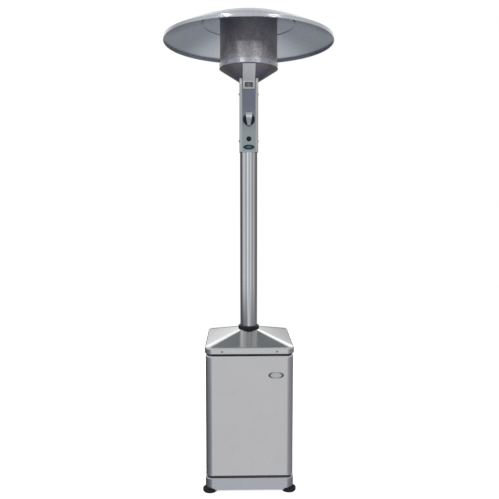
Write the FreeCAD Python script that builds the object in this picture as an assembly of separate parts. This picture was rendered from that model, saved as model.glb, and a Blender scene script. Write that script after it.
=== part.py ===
import FreeCAD, Part
import math
import os

# Free-standing gas outdoor heater. Millimetres, +Z up, origin on the floor under the pole's axis,
# front of the cabinet towards -Y. One STEP file per sub-part.

V = FreeCAD.Vector
os.makedirs("parts", exist_ok=True)

# ---------------------------------------------------------------- driving dimensions
FLOOR = 9.0                                     # heights below are counted from a datum 9 mm under the floor; everything is lowered by it on export
FOOT_XY, FOOT_R, FOOT_H = 199.5, 36.5, 26.0
PLINTH_W, PLINTH_R, PLINTH_Z0, PLINTH_Z1 = 446.0, 36.0, 20.0, 82.0
BODY_W, BODY_R, BODY_Z0, BODY_Z1 = 440.0, 33.0, 90.0, 711.0
SHEET = 1.5
DOOR_EDGE_Y, SHELL_EDGE_Y = -183.0, -180.0      # door and shell meet on the cabinet's sides
HINGE_X, HINGE_Y = -202.0, -199.0               # door axis, inside the left front corner
COVER_W, COVER_R, COVER_Z0, COVER_EDGE, COVER_Z1 = 447.0, 35.0, 721.0, 751.0, 803.0
COVER_TOP_W, COVER_TOP_R = 100.0, 22.0
POLE_R, POLE_T, POLE_Z0, POLE_Z1 = 44.5, 2.0, 734.0, 2079.0
COLLAR_R, COLLAR_H = 55.0, 16.0
BOX_W, BOX_FRONT, BOX_BACK, BOX_Z0, BOX_Z1 = 95.4, -52.0, 14.0, 1724.0, 2092.0
PANEL_Z1 = 2000.0
KNOB_Z, BUTTON_Z = 1887.0, 1789.5
KNOB_PUSH, BUTTON_PUSH = 4.5, 5.0
CONE_R0, CONE_R1, CONE_Z0, CONE_Z1 = 49.0, 149.5, 2081.0, 2145.0
BAND_Z1 = 2171.0
SCREEN_R, SCREEN_Z1 = 146.0, 2388.0
DOME_R, RIM_Z, LIP_H, DOME_H, DOME_P = 432.0, 2273.0, 17.0, 128.0, 1.75
DISC_R = 232.0
CYL_R, CYL_Z0, CYL_MID0, CYL_MID1, CYL_B = 152.0, 96.0, 171.0, 376.0, 75.0
CYL_Y = 18.0                                    # the cylinder stands a little behind the pole's axis


# ---------------------------------------------------------------- helpers
def box(x0, y0, z0, x1, y1, z1):
    return Part.makeBox(x1 - x0, y1 - y0, z1 - z0, V(x0, y0, z0))


def cyl(r, x, y, z0, z1):
    return Part.makeCylinder(r, z1 - z0, V(x, y, z0), V(0, 0, 1))


def cyly(r, x, z, y0, y1):
    return Part.makeCylinder(r, y1 - y0, V(x, y0, z), V(0, 1, 0))


def cylx(r, y, z, x0, x1):
    return Part.makeCylinder(r, x1 - x0, V(x0, y, z), V(1, 0, 0))


def tube(ro, ri, x, y, z0, z1):
    return cyl(ro, x, y, z0, z1).cut(cyl(ri, x, y, z0 - 1, z1 + 1))


def rwire(w, d, r, z):
    """Rounded rectangle outline, w along X, d along Y, centred on the axis."""
    a, b = w / 2.0, d / 2.0
    k = r * math.sqrt(0.5)
    pts = [(a - r, -b), (a - r + k, -b + r - k), (a, -b + r),
           (a, b - r), (a - r + k, b - r + k), (a - r, b),
           (-a + r, b), (-a + r - k, b - r + k), (-a, b - r),
           (-a, -b + r), (-a + r - k, -b + r - k), (-a + r, -b)]
    p = [V(x, y, z) for x, y in pts]
    e = []
    for i in range(4):
        e.append(Part.Arc(p[3 * i], p[3 * i + 1], p[3 * i + 2]).toShape())
        e.append(Part.LineSegment(p[3 * i + 2], p[(3 * i + 3) % 12]).toShape())
    return Part.Wire(e)


def rbox(w, r, z0, z1, d=None):
    return Part.Face(rwire(w, d or w, r, z0)).extrude(V(0, 0, z1 - z0))


def fillet_at(s, r, test):
    edges = [e for e in s.Edges if test(e)]
    return s.makeFillet(r, edges)


def flat_edges(z):
    return lambda e: abs(e.BoundBox.ZMin - z) < 1e-4 and abs(e.BoundBox.ZMax - z) < 1e-4


def revolve(pts, axis_xy=(0, 0), angle=360):
    """Revolve a closed (r, z) polygon about the vertical through axis_xy."""
    x, y = axis_xy
    w = Part.makePolygon([V(x + r, y, z) for r, z in pts] + [V(x + pts[0][0], y, pts[0][1])])
    return Part.Face(w).revolve(V(x, y, 0), V(0, 0, 1), angle)


def revolve_edges(edges, axis_xy=(0, 0)):
    x, y = axis_xy
    return Part.Face(Part.Wire(edges)).revolve(V(x, y, 0), V(0, 0, 1), 360)


def seg(a, b):
    return Part.LineSegment(V(*a), V(*b)).toShape()


def arc3(a, b, c):
    return Part.Arc(V(*a), V(*b), V(*c)).toShape()


def spline(points):
    s = Part.BSplineCurve()
    s.interpolate([V(*p) for p in points])
    return s.toShape()


def pipe(points, r, factor=0.45, report=None):
    """Round tube along straight runs joined by tangent arcs."""
    P = [V(*p) for p in points]
    edges, radii = [], []
    start = P[0]
    for i in range(1, len(P) - 1):
        a, b = (P[i - 1] - P[i]), (P[i + 1] - P[i])
        la, lb = a.Length, b.Length
        a.normalize()
        b.normalize()
        turn = math.pi - a.getAngle(b)
        t = factor * min(la, lb)
        rad = t / math.tan(turn / 2.0)
        radii.append(round(rad, 1))
        p0, p1 = P[i] + a * t, P[i] + b * t
        bis = a + b
        bis.normalize()
        c = P[i] + bis * (rad / math.cos(turn / 2.0))
        mid = c - bis * rad
        edges.append(Part.LineSegment(start, p0).toShape())
        edges.append(Part.Arc(p0, mid, p1).toShape())
        start = p1
    edges.append(Part.LineSegment(start, P[-1]).toShape())
    w = Part.Wire(edges)
    d = P[1] - P[0]
    prof = Part.Wire([Part.Circle(P[0], d, r).toShape()])
    s = w.makePipeShell([prof], True, False, 2)
    L = sum(e.Length for e in edges)
    print("   tube %s: length %.0f, radii %s, volume ratio %.4f" % (report or "", L, radii, s.Volume / (math.pi * r * r * L)))
    return s


def xf(s, x=0, y=0, z=0, rz=0):
    s = s.copy()
    if rz:
        s.rotate(V(0, 0, 0), V(0, 0, 1), rz)
    s.translate(V(x, y, z))
    return s


def group(shapes):
    return Part.makeCompound(shapes)


def four(s):
    """The same piece at the four corners, turned with the corner."""
    return [xf(s, rz=a) for a in (0, 90, 180, 270)]


def pan_screw(r, h, shank_r, shank_l):
    """Domed screw head: base at the origin, head towards +Z, shank towards -Z, with a cross recess."""
    e = [seg((0, 0, -shank_l), (shank_r, 0, -shank_l)), seg((shank_r, 0, -shank_l), (shank_r, 0, 0)),
         seg((shank_r, 0, 0), (r, 0, 0)), seg((r, 0, 0), (r, 0, 0.35 * h)),
         arc3((r, 0, 0.35 * h), (0.72 * r, 0, 0.85 * h), (0, 0, h)), seg((0, 0, h), (0, 0, -shank_l))]
    s = Part.Face(Part.Wire(e)).revolve(V(0, 0, 0), V(0, 0, 1), 360)
    w, l = 0.22 * r, 1.1 * r
    cross = box(-l / 2, -w / 2, 0.45 * h, l / 2, w / 2, h + 1).fuse(box(-w / 2, -l / 2, 0.45 * h, w / 2, l / 2, h + 1))
    return s.cut(cross)


def aim(s, pos, direction):
    s = s.copy()
    rot = FreeCAD.Rotation(V(0, 0, 1), V(*direction))
    s.Placement = FreeCAD.Placement(V(*pos), rot)
    return s


def hexa(af, z0, z1, x=0, y=0):
    R = af / math.sqrt(3)
    pts = [V(x + R * math.cos(math.radians(60 * i)), y + R * math.sin(math.radians(60 * i)), z0) for i in range(7)]
    return Part.Face(Part.makePolygon(pts)).extrude(V(0, 0, z1 - z0))


nodes = {}


def put(name, shape):
    nodes[name] = shape


def dome_z(r, drop=0.0):
    return RIM_Z + LIP_H + DOME_H * (1 - (r / DOME_R) ** DOME_P) - drop


# ---------------------------------------------------------------- base: feet, plinth, floor pan, frame
plinth_solid = rbox(PLINTH_W, PLINTH_R, PLINTH_Z0, PLINTH_Z1)
plinth_solid = fillet_at(plinth_solid, 5.0, flat_edges(PLINTH_Z1))

foot = revolve([(0, FLOOR), (30.5, FLOOR), (34, FLOOR + 1.0), (36, FLOOR + 3.4), (FOOT_R, FLOOR + 6.5), (FOOT_R, FOOT_H - 3.6), (35.8, FOOT_H - 1.3),
                (34, FOOT_H), (0, FOOT_H)], (FOOT_XY, FOOT_XY))
foot = foot.cut(rbox(PLINTH_W + 0.8, PLINTH_R + 0.4, PLINTH_Z0, 60))
foot = foot.cut(cyl(9.5, FOOT_XY, FOOT_XY, -1, 16.4)).cut(cyl(4.3, FOOT_XY, FOOT_XY, -1, 60))
foot = sorted(foot.Solids, key=lambda q: -q.Volume)[0]
put("corner_feet", group(four(foot)))

bolt = hexa(13, 10.8, 16.35, FOOT_XY, FOOT_XY).fuse(cyl(4.0, FOOT_XY, FOOT_XY, 16.35, 34))
put("foot_bolts", group(four(bolt)))
nut = hexa(13, 22.1, 28.6, FOOT_XY, FOOT_XY).cut(cyl(4.05, FOOT_XY, FOOT_XY, 20, 40))
put("foot_nuts", group(four(nut)))

inner = rbox(PLINTH_W - 4, PLINTH_R - 2, PLINTH_Z0 + 2, PLINTH_Z1 - 2)
inner = fillet_at(inner, 3.0, flat_edges(PLINTH_Z1 - 2))
plinth = plinth_solid.cut(inner)
plinth = plinth.cut(rbox(PLINTH_W - 130, 30, PLINTH_Z0 - 1, PLINTH_Z0 + 3))
plinth = plinth.cut(rbox(PLINTH_W - 70, 20, PLINTH_Z1 - 3, PLINTH_Z1 + 1))
for s in four(cyl(4.3, FOOT_XY, FOOT_XY, 10, 24)):
    plinth = plinth.cut(s)
put("base_plinth", plinth)

pan = rbox(428, 28, 82, 90).cut(rbox(424, 26, 84, 91))
for i in range(8):
    a = math.radians(22.5 + 45 * i)
    pan = pan.cut(cyl(13, 70 * math.cos(a), 70 * math.sin(a) + CYL_Y, 80, 86))
    pan = pan.cut(cyl(9, 178 * math.cos(a), 178 * math.sin(a), 80, 86))
locators = []
for a in (30, 150, 270):
    t = box(106, -12, 84, 108, 12, 100)
    locators.append(xf(t, 0, CYL_Y, 0, 0).copy())
    locators[-1].rotate(V(0, CYL_Y, 0), V(0, 0, 1), a)
for t in locators:
    pan = pan.fuse(t)
put("floor_pan", pan.removeSplitter())

posts = []
for sx, sy, y_out in ((-1, -1, 172.0), (1, -1, 172.0), (-1, 1, 216.5), (1, 1, 216.5)):
    x1, y1 = 216.5, y_out
    if sy > 0:
        x1, y1 = 203.0, 203.0
    xo = x1 if sy > 0 else x1 - 6
    a = box(xo - 2, y1 - 26, 84, xo, y1, 713)
    b = box(xo - 26, y1 - 2, 84, xo, y1, 713)
    p = a.fuse(b).removeSplitter()
    if sx < 0:
        p = p.mirror(V(0, 0, 0), V(1, 0, 0))
    if sy < 0:
        p = p.mirror(V(0, 0, 0), V(0, 1, 0))
    posts.append(p)
put("frame_posts", group(posts))


def ring(w_out, r_out, w_in, r_in, z0, z1):
    return rbox(w_out, r_out, z0, z1).cut(rbox(w_in, r_in, z0 - 1, z1 + 1))


frame = ring(426, 26, 422, 24, 713, 722)
frame = frame.fuse(ring(426, 26, 370, 10, 713, 715))
frame = frame.fuse(ring(443, 33.5, 422, 24, 720, 722))
frame = frame.fuse(ring(443, 33.5, 439, 31.5, 720, 742)).removeSplitter()
for x in (-136, 136):
    frame = frame.cut(cyly(2.2, x, 732, -240, 240)).cut(cylx(2.2, x, 732, -240, 240))
frame = frame.cut(cyl(3.05, HINGE_X, HINGE_Y, 710, 719))
put("top_frame", frame)

plate = rbox(437, 31, 722, 726).cut(cyl(32, 0, 0, 720, 730))
for a in (45, 135, 225, 315):
    plate = plate.cut(cyl(5.2, 65 * math.cos(math.radians(a)), 65 * math.sin(math.radians(a)), 720, 730))
put("pole_support_plate", plate)

# ---------------------------------------------------------------- cabinet: shell and wrap-round door
def pan_skin(y_low, y_high, flange):
    """Sheet tube of the cabinet with its top and bottom edges rolled inwards, cut to a range of Y."""
    out = rbox(BODY_W, BODY_R, BODY_Z0, BODY_Z1)
    out = fillet_at(out, 9.0, lambda e: flat_edges(BODY_Z0)(e) or flat_edges(BODY_Z1)(e))
    inn = rbox(BODY_W - 2 * SHEET, BODY_R - SHEET, BODY_Z0 + SHEET, BODY_Z1 - SHEET)
    inn = fillet_at(inn, 7.5, lambda e: flat_edges(BODY_Z0 + SHEET)(e) or flat_edges(BODY_Z1 - SHEET)(e))
    s = out.cut(inn).cut(rbox(BODY_W - 2 * flange, 8, BODY_Z0 - 5, BODY_Z1 + 5))
    return s.common(box(-300, y_low, 0, 300, y_high, 900))


shell = pan_skin(SHELL_EDGE_Y, 300, 30)
for i in range(5):                                    # louvre slots low on the back for ventilation
    z = 150 + 16 * i
    shell = shell.cut(box(-60, 200, z, 60, 230, z + 5))
for sx in (-1, 1):                                    # notches in the rolled edges for the four posts
    xa, xb = sorted((sx * 183.5, sx * 211.5))
    shell = shell.cut(box(xa, -173, 80, xb, -145, 720))
    xa, xb = sorted((sx * 176.5, sx * 203.5))
    shell = shell.cut(box(xa, 176.5, 80, xb, 203.5, 720))
for z0, z1 in ((80, 93.5), (707.5, 720)):             # relief for the door's rolled edge where it swings past
    shell = shell.cut(cyl(21.7, HINGE_X, HINGE_Y, z0, z1))
put("cabinet_shell", shell)

door = pan_skin(-300, DOOR_EDGE_Y, 30)
door = door.cut(box(-300, -300, 0, 300, 0, BODY_Z0 + 0.6))
door = door.cut(box(-300, -300, BODY_Z1 - 0.6, 300, 0, 900))
door = door.cut(cyl(3.4, HINGE_X, HINGE_Y, 60, 900))
door = sorted(door.Solids, key=lambda s: -s.Volume)[0]
put("door_panel", door)

hp = []
for z0 in (BODY_Z0 + SHEET + 0.02, BODY_Z1 - SHEET - 4.02):
    p = box(-212, -213, z0, -191, -190.5, z0 + 4).common(rbox(421.6, 23.8, z0 - 1, z0 + 5))
    p = p.cut(cyl(3.05, HINGE_X, HINGE_Y, 0, 900))
    hp.append(p)
put("door_hinge_plates", group(hp))

pins = [cyl(3.0, HINGE_X, HINGE_Y, 84, 99), cyl(3.0, HINGE_X, HINGE_Y, 702, 719)]
put("hinge_pins", group(pins))
br = [box(-211, -211, 84.02, -190, -188, 88.5).common(rbox(423.6, 25.8, 80, 90)).cut(cyl(3.0, HINGE_X, HINGE_Y, 80, 99)),
      box(-211, -211, 711.6, -190, -188, 712.98).common(rbox(423.6, 25.8, 700, 720)).cut(cyl(3.0, HINGE_X, HINGE_Y, 700, 730))]
put("hinge_brackets", group(br))

hat = []
st = box(-32, -218.45, 120, 32, -217.0, 680).fuse(box(-18, -218.45, 120, 18, -204, 680)).cut(box(-16.8, -219, 119, 16.8, -205.3, 681))
put("door_stiffener", st)

catch = box(190, -190, 380, 210, -172.0, 420)
catch = fillet_at(catch, 1.5, lambda e: abs(e.BoundBox.XLength) < 1e-4 and abs(e.BoundBox.YLength) < 1e-4)
put("door_catch", catch)
strike = box(160, -218.45, 384, 184, -217.2, 416).fuse(box(182.8, -218.45, 384, 184, -190.6, 416)).fuse(box(182.8, -192.0, 384, 206, -190.6, 416))
put("catch_strike", strike.removeSplitter())


def oval(w, h, y0, y1, x, z, ring_w=None):
    """Oval plate standing on a vertical face, thickness from y0 to y1."""
    def wire(a, b):
        e = Part.Ellipse(V(x, y0, z), a, b)
        s = e.toShape()
        s.rotate(V(x, y0, z), V(1, 0, 0), 90)
        return Part.Wire([s])
    s = Part.Face(wire(w / 2, h / 2)).extrude(V(0, y1 - y0, 0))
    if ring_w:
        t = Part.Face(wire(w / 2 - ring_w, h / 2 - ring_w)).extrude(V(0, (y1 - y0) * 0.5, 0))
        s = s.cut(t)
    return s


put("door_badge", oval(78, 33, -222.4, -220.0, 132, 611, 3.0))

# ---------------------------------------------------------------- gas cylinder group
CY = (0.0, CYL_Y)


def vessel(r, b, z_low, z_high):
    def pt(rr, z):
        return (CY[0] + rr, CY[1], z)
    n = 8
    lowp = [pt(r * math.sin(math.pi / 2 * i / n), z_low - b * math.cos(math.pi / 2 * i / n)) for i in range(n + 1)]
    highp = [pt(r * math.cos(math.pi / 2 * i / n), z_high + b * math.sin(math.pi / 2 * i / n)) for i in range(n + 1)]
    e = [spline(lowp), seg(pt(r, z_low), pt(r, z_high)), spline(highp), seg(highp[-1], lowp[0])]
    return revolve_edges(e, CY)


outer_v = vessel(CYL_R, CYL_B, CYL_MID0, CYL_MID1)
inner_v = vessel(CYL_R - 2.6, CYL_B - 2.6, CYL_MID0, CYL_MID1)
TOPZ = CYL_MID1 + CYL_B
tank = outer_v.fuse(cyl(21, 0, CYL_Y, TOPZ - 8, TOPZ + 12)).cut(inner_v).cut(cyl(12, 0, CYL_Y, TOPZ - 12, TOPZ + 20))
put("gas_cylinder", tank)
outer_c = vessel(CYL_R + 0.3, CYL_B + 0.3, CYL_MID0, CYL_MID1)
put("cylinder_foot_ring", tube(102.5, 100, 0, CYL_Y, 84.0, 125).cut(outer_c))
guard = tube(101, 98.5, 0, CYL_Y, 420, 548)
guard = guard.cut(outer_c)
guard = guard.cut(box(-58, CYL_Y - 140, 455, 58, CYL_Y, 600))
for a in (60, 120):
    slot = box(80, -32, 505, 130, 32, 530)
    slot = fillet_at(slot, 9, lambda e: abs(e.BoundBox.ZLength) < 1e-4 and abs(e.BoundBox.YLength) < 1e-4)
    slot = xf(slot, rz=a)
    guard = guard.cut(xf(slot, 0, CYL_Y, 0))
put("cylinder_guard", sorted(guard.Solids, key=lambda s: -s.Volume)[0])

VZ = TOPZ + 12
valve = cyl(11.95, 0, CYL_Y, TOPZ - 6, VZ).fuse(hexa(30, VZ, VZ + 10, 0, CYL_Y)).fuse(cyl(13, 0, CYL_Y, VZ + 10, VZ + 34))
valve = valve.fuse(cyly(11, 0, VZ + 20, CYL_Y - 38, CYL_Y)).fuse(cyly(13.5, 0, VZ + 20, CYL_Y - 38, CYL_Y - 28))
valve = valve.fuse(cylx(6, CYL_Y, VZ + 20, 8, 20))
valve = valve.cut(cyl(5.05, 0, CYL_Y, VZ + 22, VZ + 50)).cut(cyly(6, 0, VZ + 20, CYL_Y - 40, CYL_Y - 14))
put("cylinder_valve", valve.removeSplitter())
wheel = cyl(29, 0, CYL_Y, VZ + 38, VZ + 53)
for i in range(8):
    a = math.radians(45 * i)
    wheel = wheel.cut(cyl(6.5, 32.5 * math.cos(a), CYL_Y + 32.5 * math.sin(a), VZ + 30, VZ + 60))
wheel = wheel.fuse(cyl(11, 0, CYL_Y, VZ + 35, VZ + 38)).cut(cyl(19, 0, CYL_Y, VZ + 49, VZ + 60).cut(cyl(9, 0, CYL_Y, VZ + 40, VZ + 61)))
wheel = wheel.cut(cyl(5.0, 0, CYL_Y, VZ + 30, VZ + 50))
put("valve_handwheel", wheel.removeSplitter())
put("handwheel_stem", cyl(5.0, 0, CYL_Y, VZ + 24, VZ + 50))

RZ = VZ + 20
rnut = cyly(19, 0, RZ, CYL_Y - 62, CYL_Y - 38.1)
for i in range(12):
    a = math.radians(30 * i)
    rnut = rnut.cut(cyly(2.2, 19.8 * math.cos(a), RZ + 19.8 * math.sin(a), CYL_Y - 60, CYL_Y - 40))
rnut = rnut.cut(cyly(8, 0, RZ, CYL_Y - 70, CYL_Y - 30))
put("regulator_nut", rnut)
RY = CYL_Y - 92.0
reg = cyly(7.9, 0, RZ, CYL_Y - 66, CYL_Y - 38.2).fuse(cyl(17, 0, RY, RZ - 14, RZ + 14)).fuse(cyly(10, 0, RZ, RY + 4, CYL_Y - 62.2))
reg = reg.fuse(cyl(34, 0, RY - 6, RZ + 12, RZ + 19)).fuse(cyl(30, 0, RY - 6, RZ + 8, RZ + 26)).fuse(cyl(12, 0, RY - 6, RZ + 26, RZ + 36))
reg = reg.fuse(cylx(7, RY, RZ - 2, 0, 36))
put("regulator", reg.removeSplitter())

GV_Z0, GV_Z1 = 1858.0, 1914.0
hose_pts = [(50, RY, RZ - 2), (92, RY, RZ - 2), (128, RY + 22, RZ + 12), (136, RY + 46, RZ + 60), (112, -14, RZ + 112),
            (60, 0, RZ + 150), (14, 4, RZ + 190), (0, 8, RZ + 250), (0, 8, 1640), (0, 15, 1700), (0, 17, 1748), (0, 2, 1804), (0, 2, GV_Z0 - 26)]
put("gas_hose", pipe(hose_pts, 6.0, 0.42, "gas_hose"))
fit1 = cylx(8.5, RY, RZ - 2, 36.05, 50).cut(cylx(3, RY, RZ - 2, 30, 60))
fit2 = cyl(8.5, 0, 2, GV_Z0 - 26, GV_Z0 - 10).fuse(hexa(17, GV_Z0 - 10, GV_Z0 - 0.05, 0, 2))
put("hose_fittings", group([fit1, fit2.removeSplitter()]))

strap = tube(CYL_R + 2.2, CYL_R + 0.2, 0, CYL_Y, 285, 315)
for sx in (-1, 1):
    arm = box(70, 150, 285, 72, 203, 315).cut(cyl(CYL_R + 1.0, 0, CYL_Y, 200, 400))
    arm = arm.fuse(box(72, 201, 285, 96, 203, 315))
    if sx < 0:
        arm = arm.mirror(V(0, 0, 0), V(1, 0, 0))
    strap = strap.fuse(arm)
strap = strap.removeSplitter()
put("cylinder_strap", sorted(strap.Solids, key=lambda s: -s.Volume)[0])
put("strap_rail", box(-203, 203.05, 288, 203, 208.5, 312))

# ---------------------------------------------------------------- top cover, pole flange, pole, collar
def cover_solid(off, z0):
    w = COVER_W - 2 * off
    skirt = rbox(w, COVER_R - off, z0, COVER_EDGE - off * 0.3)
    roof = Part.makeLoft([rwire(w, w, COVER_R - off, COVER_EDGE - off * 0.3),
                          rwire(COVER_TOP_W - 2 * off, COVER_TOP_W - 2 * off, COVER_TOP_R - off, COVER_Z1 - off * 1.04)], True, True)
    s = skirt.fuse(roof).removeSplitter()
    ze = COVER_EDGE - off * 0.3
    try:
        s = fillet_at(s, 9.0 - off, flat_edges(ze))
    except Exception as ex:
        print("   cover edge left sharp:", ex)
    return s


cover = cover_solid(0, COVER_Z0).cut(cover_solid(SHEET, COVER_Z0 - 5)).cut(cyl(45.0, 0, 0, 780, 830))
for x in (-136, 136):
    cover = cover.cut(cyly(2.2, x, 732, -240, 240)).cut(cylx(2.2, x, 732, -240, 240))
put("top_cover", cover)
sc = pan_screw(5.0, 2.6, 2.0, 4.6)
w2 = COVER_W / 2
cs = []
for t in (-136, 136):
    cs += [aim(sc, (t, -w2, 732), (0, -1, 0)), aim(sc, (t, w2, 732), (0, 1, 0)),
           aim(sc, (-w2, t, 732), (-1, 0, 0)), aim(sc, (w2, t, 732), (1, 0, 0))]
put("cover_screws", group(cs))

fl = cyl(86, 0, 0, 726, 734).fuse(cyl(52, 0, 0, 734, 794)).cut(cyl(POLE_R + 0.05, 0, 0, 734, 800)).cut(cyl(32, 0, 0, 720, 740))
for a in (45, 135, 225, 315):
    fl = fl.cut(cyl(5.2, 65 * math.cos(math.radians(a)), 65 * math.sin(math.radians(a)), 720, 740))
put("pole_flange", fl)
fb = []
for a in (45, 135, 225, 315):
    x, y = 65 * math.cos(math.radians(a)), 65 * math.sin(math.radians(a))
    b = hexa(16, 734.02, 740.4, x, y).fuse(cyl(4.9, x, y, 713, 734.02)).fuse(hexa(16, 714, 721.98, x, y))
    fb.append(b.removeSplitter())
put("flange_bolts", group(fb))

pole = tube(POLE_R, POLE_R - POLE_T, 0, 0, POLE_Z0, POLE_Z1)
pole = pole.cut(box(-31, -60, 1772, 31, -20, 1976))
for z in (1782, 2019):
    pole = pole.cut(cylx(2.3, -8, z, -60, 60))
put("pole", pole)

collar = revolve([(POLE_R + 0.15, 803.05), (COLLAR_R, 803.05), (COLLAR_R, 812), (COLLAR_R - 1.2, 816.5), (COLLAR_R - 4, 819),
                  (POLE_R + 2, 819), (POLE_R + 0.15, 817.5)])
put("pole_collar", collar)

# ---------------------------------------------------------------- control housing and controls
def channel(off, z0, z1):
    """Plan of the housing: rounded front corners, open towards the back."""
    h = BOX_W / 2 - off
    f = BOX_FRONT + off
    r = 5.0 - off
    k = r * math.sqrt(0.5)
    e = [seg((h, BOX_BACK, z0), (h, f + r, z0)), arc3((h, f + r, z0), (h - r + k, f + r - k, z0), (h - r, f, z0)),
         seg((h - r, f, z0), (-h + r, f, z0)), arc3((-h + r, f, z0), (-h + r - k, f + r - k, z0), (-h, f + r, z0)),
         seg((-h, f + r, z0), (-h, BOX_BACK, z0)), seg((-h, BOX_BACK, z0), (h, BOX_BACK, z0))]
    return Part.Face(Part.Wire(e)).extrude(V(0, 0, z1 - z0))


cone_out = revolve([(0, CONE_Z0 - 0.4), (CONE_R0 + 0.4, CONE_Z0 - 0.4), (CONE_R1 + 0.4, CONE_Z1 - 0.5), (CONE_R1 + 0.4, 2200), (0, 2200)])
housing = channel(0, BOX_Z0, BOX_Z1).cut(channel(SHEET, BOX_Z0 + SHEET, BOX_Z1 + 1))
housing = housing.cut(box(-46.2, -10, BOX_Z0 + SHEET, 46.2, 40, BOX_Z1 + 1))
housing = housing.cut(box(-34, BOX_FRONT - 2, BOX_Z0 + 4, 34, BOX_FRONT + 4, BOX_Z1 + 1))
housing = housing.cut(cyl(POLE_R + 0.15, 0, 0, BOX_Z0 - 5, BOX_Z0 + 10)).cut(cone_out).cut(cyl(50.5, 0, 0, 2078.6, 2100))
for z in (1782, 2019):
    housing = housing.cut(cylx(2.6, -8, z, -60, 60))
put("control_housing", sorted(housing.Solids, key=lambda s: -s.Volume)[0])
hs = pan_screw(6.0, 3.6, 2.25, 8.0)
put("housing_screws", group([aim(hs, (sx * BOX_W / 2, -8, z), (sx, 0, 0)) for sx in (-1, 1) for z in (1782, 2019)]))

PF = -50.4                                       # front face of the control panel
panel = box(-42.2, PF, BOX_Z0 + 1.7, 42.2, PF + 1.5, PANEL_Z1)
panel = panel.fuse(box(-33.6, PF, PANEL_Z1 - 1.5, 33.6, -46.5, PANEL_Z1))      # top edge folded back
panel = panel.fuse(box(-33.6, -48.0, PANEL_Z1 - 1.5, 33.6, -46.5, 2037.2))     # and up again, set back behind the pilot cover
panel = panel.fuse(box(-29.2, -48.0, 2037.0, 29.2, -46.5, 2044.0))
panel = panel.cut(box(-40, -49.5, 2017.2, 40, -47.45, 2018.4))                 # shallow crease across the set-back part
panel = panel.cut(cyly(10.4, 0, KNOB_Z, -60, -40)).cut(cyly(11.1, 0, BUTTON_Z, -60, -40)).removeSplitter()
put("control_panel", panel)

bez = cyly(30.5, 0, KNOB_Z, PF - 1.6, PF - 0.02).cut(cyly(10.4, 0, KNOB_Z, -60, -40))
put("knob_bezel", bez)

valve_nose_y = -44.8
gv = box(-17, -34, GV_Z0, 17, 10, GV_Z1)
gv = fillet_at(gv, 3.0, lambda e: abs(e.BoundBox.XLength) < 1e-4 and abs(e.BoundBox.YLength) < 1e-4)
gv = gv.fuse(cyly(9, 0, KNOB_Z, -41, -34)).fuse(cyl(6, 0, -13, GV_Z1, GV_Z1 + 8)).fuse(cyl(4, 9, -4, GV_Z1, GV_Z1 + 6))
gv = gv.cut(cyly(4.05, 0, KNOB_Z, -50, -10)).cut(cyly(7.4, 0, KNOB_Z, -50, -30))
put("gas_valve", gv.removeSplitter())
vb = box(-22, -35.6, GV_Z0 + 4, 22, -34.05, GV_Z1 - 4).cut(cyly(9.2, 0, KNOB_Z, -50, -20))
for sx in (-1, 1):
    leg = box(20.5, -48.85, GV_Z0 + 14, 22, -34.05, GV_Z1 - 14)
    foot_ = box(20.5, -48.85, GV_Z0 + 14, 30, -47.4, GV_Z1 - 14)
    leg = leg.fuse(foot_)
    if sx < 0:
        leg = leg.mirror(V(0, 0, 0), V(1, 0, 0))
    vb = vb.fuse(leg)
put("valve_bracket", vb.removeSplitter())

KB0, KB1, KG = -57.4, -68.0, -84.0               # knob base back, knob base front, grip front
stem = cyly(4.0, 0, KNOB_Z, KB1 + 2.0, -26)
stem = stem.cut(box(-5, KB1, KNOB_Z + 2.6, 5, KB0, KNOB_Z + 6)).fuse(cyly(5.4, 0, KNOB_Z, -45.0, -43.5)).removeSplitter()
put("valve_stem", stem)
washer = cyly(6.9, 0, KNOB_Z, -43.2, -42.0).cut(cyly(4.06, 0, KNOB_Z, -50, -30))
put("thrust_washer", washer)
spr = []
turns, z_a, z_b = 4, -41.95, -30.05
helix = Part.makeHelix((z_b - z_a - 1.0) / turns, (z_b - z_a - 1.0), 5.7)
prof = Part.Wire([Part.Circle(V(5.7, 0, 0), V(0, 1, 0), 0.42).toShape()])
coil = Part.Wire(helix.Edges).makePipeShell([prof], True, True)
coil.rotate(V(0, 0, 0), V(1, 0, 0), -90)
coil.translate(V(0, z_a + 0.5, KNOB_Z))
put("stem_spring", coil)

kb = cyly(27.0, 0, KNOB_Z, KB1, KB0)
kb = fillet_at(kb, 1.6, lambda e: abs(e.BoundBox.YLength) < 1e-4 and abs(e.BoundBox.YMin - KB1) < 1e-4)
kb = kb.fuse(cyly(9.0, 0, KNOB_Z, KB0, KB0 + 1.4))
for i in range(24):
    a = math.radians(15 * i)
    kb = kb.cut(cyly(1.5, 27.9 * math.cos(a), KNOB_Z + 27.9 * math.sin(a), KB1 + 2.5, KB0 - 1.0))
hub = cyly(4.03, 0, KNOB_Z, KB1 + 1.9, KB0 + 3).cut(box(-5, KB1, KNOB_Z + 2.63, 5, KB0 - 0.0, KNOB_Z + 6))
kb = kb.cut(hub)
put("control_knob", kb.removeSplitter())
plan = [(-16.6, 32), (16.6, 32), (16.0, 14), (11.2, -18), (7.0, -32), (-7.0, -32), (-11.2, -18), (-16.0, 14)]
w = Part.makePolygon([V(x, -90, KNOB_Z + z) for x, z in plan + plan[:1]])
grip = Part.Face(w).extrude(V(0, 30, 0))
side = [(KB1 - 0.02, 32), (-73.0, 32), (KG, 16.5), (KG, 9.5), (-79.0, -27), (-75.0, -32), (KB1 - 0.02, -32)]
w = Part.makePolygon([V(-30, y, KNOB_Z + z) for y, z in side + side[:1]])
grip = grip.common(Part.Face(w).extrude(V(60, 0, 0)))
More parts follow.
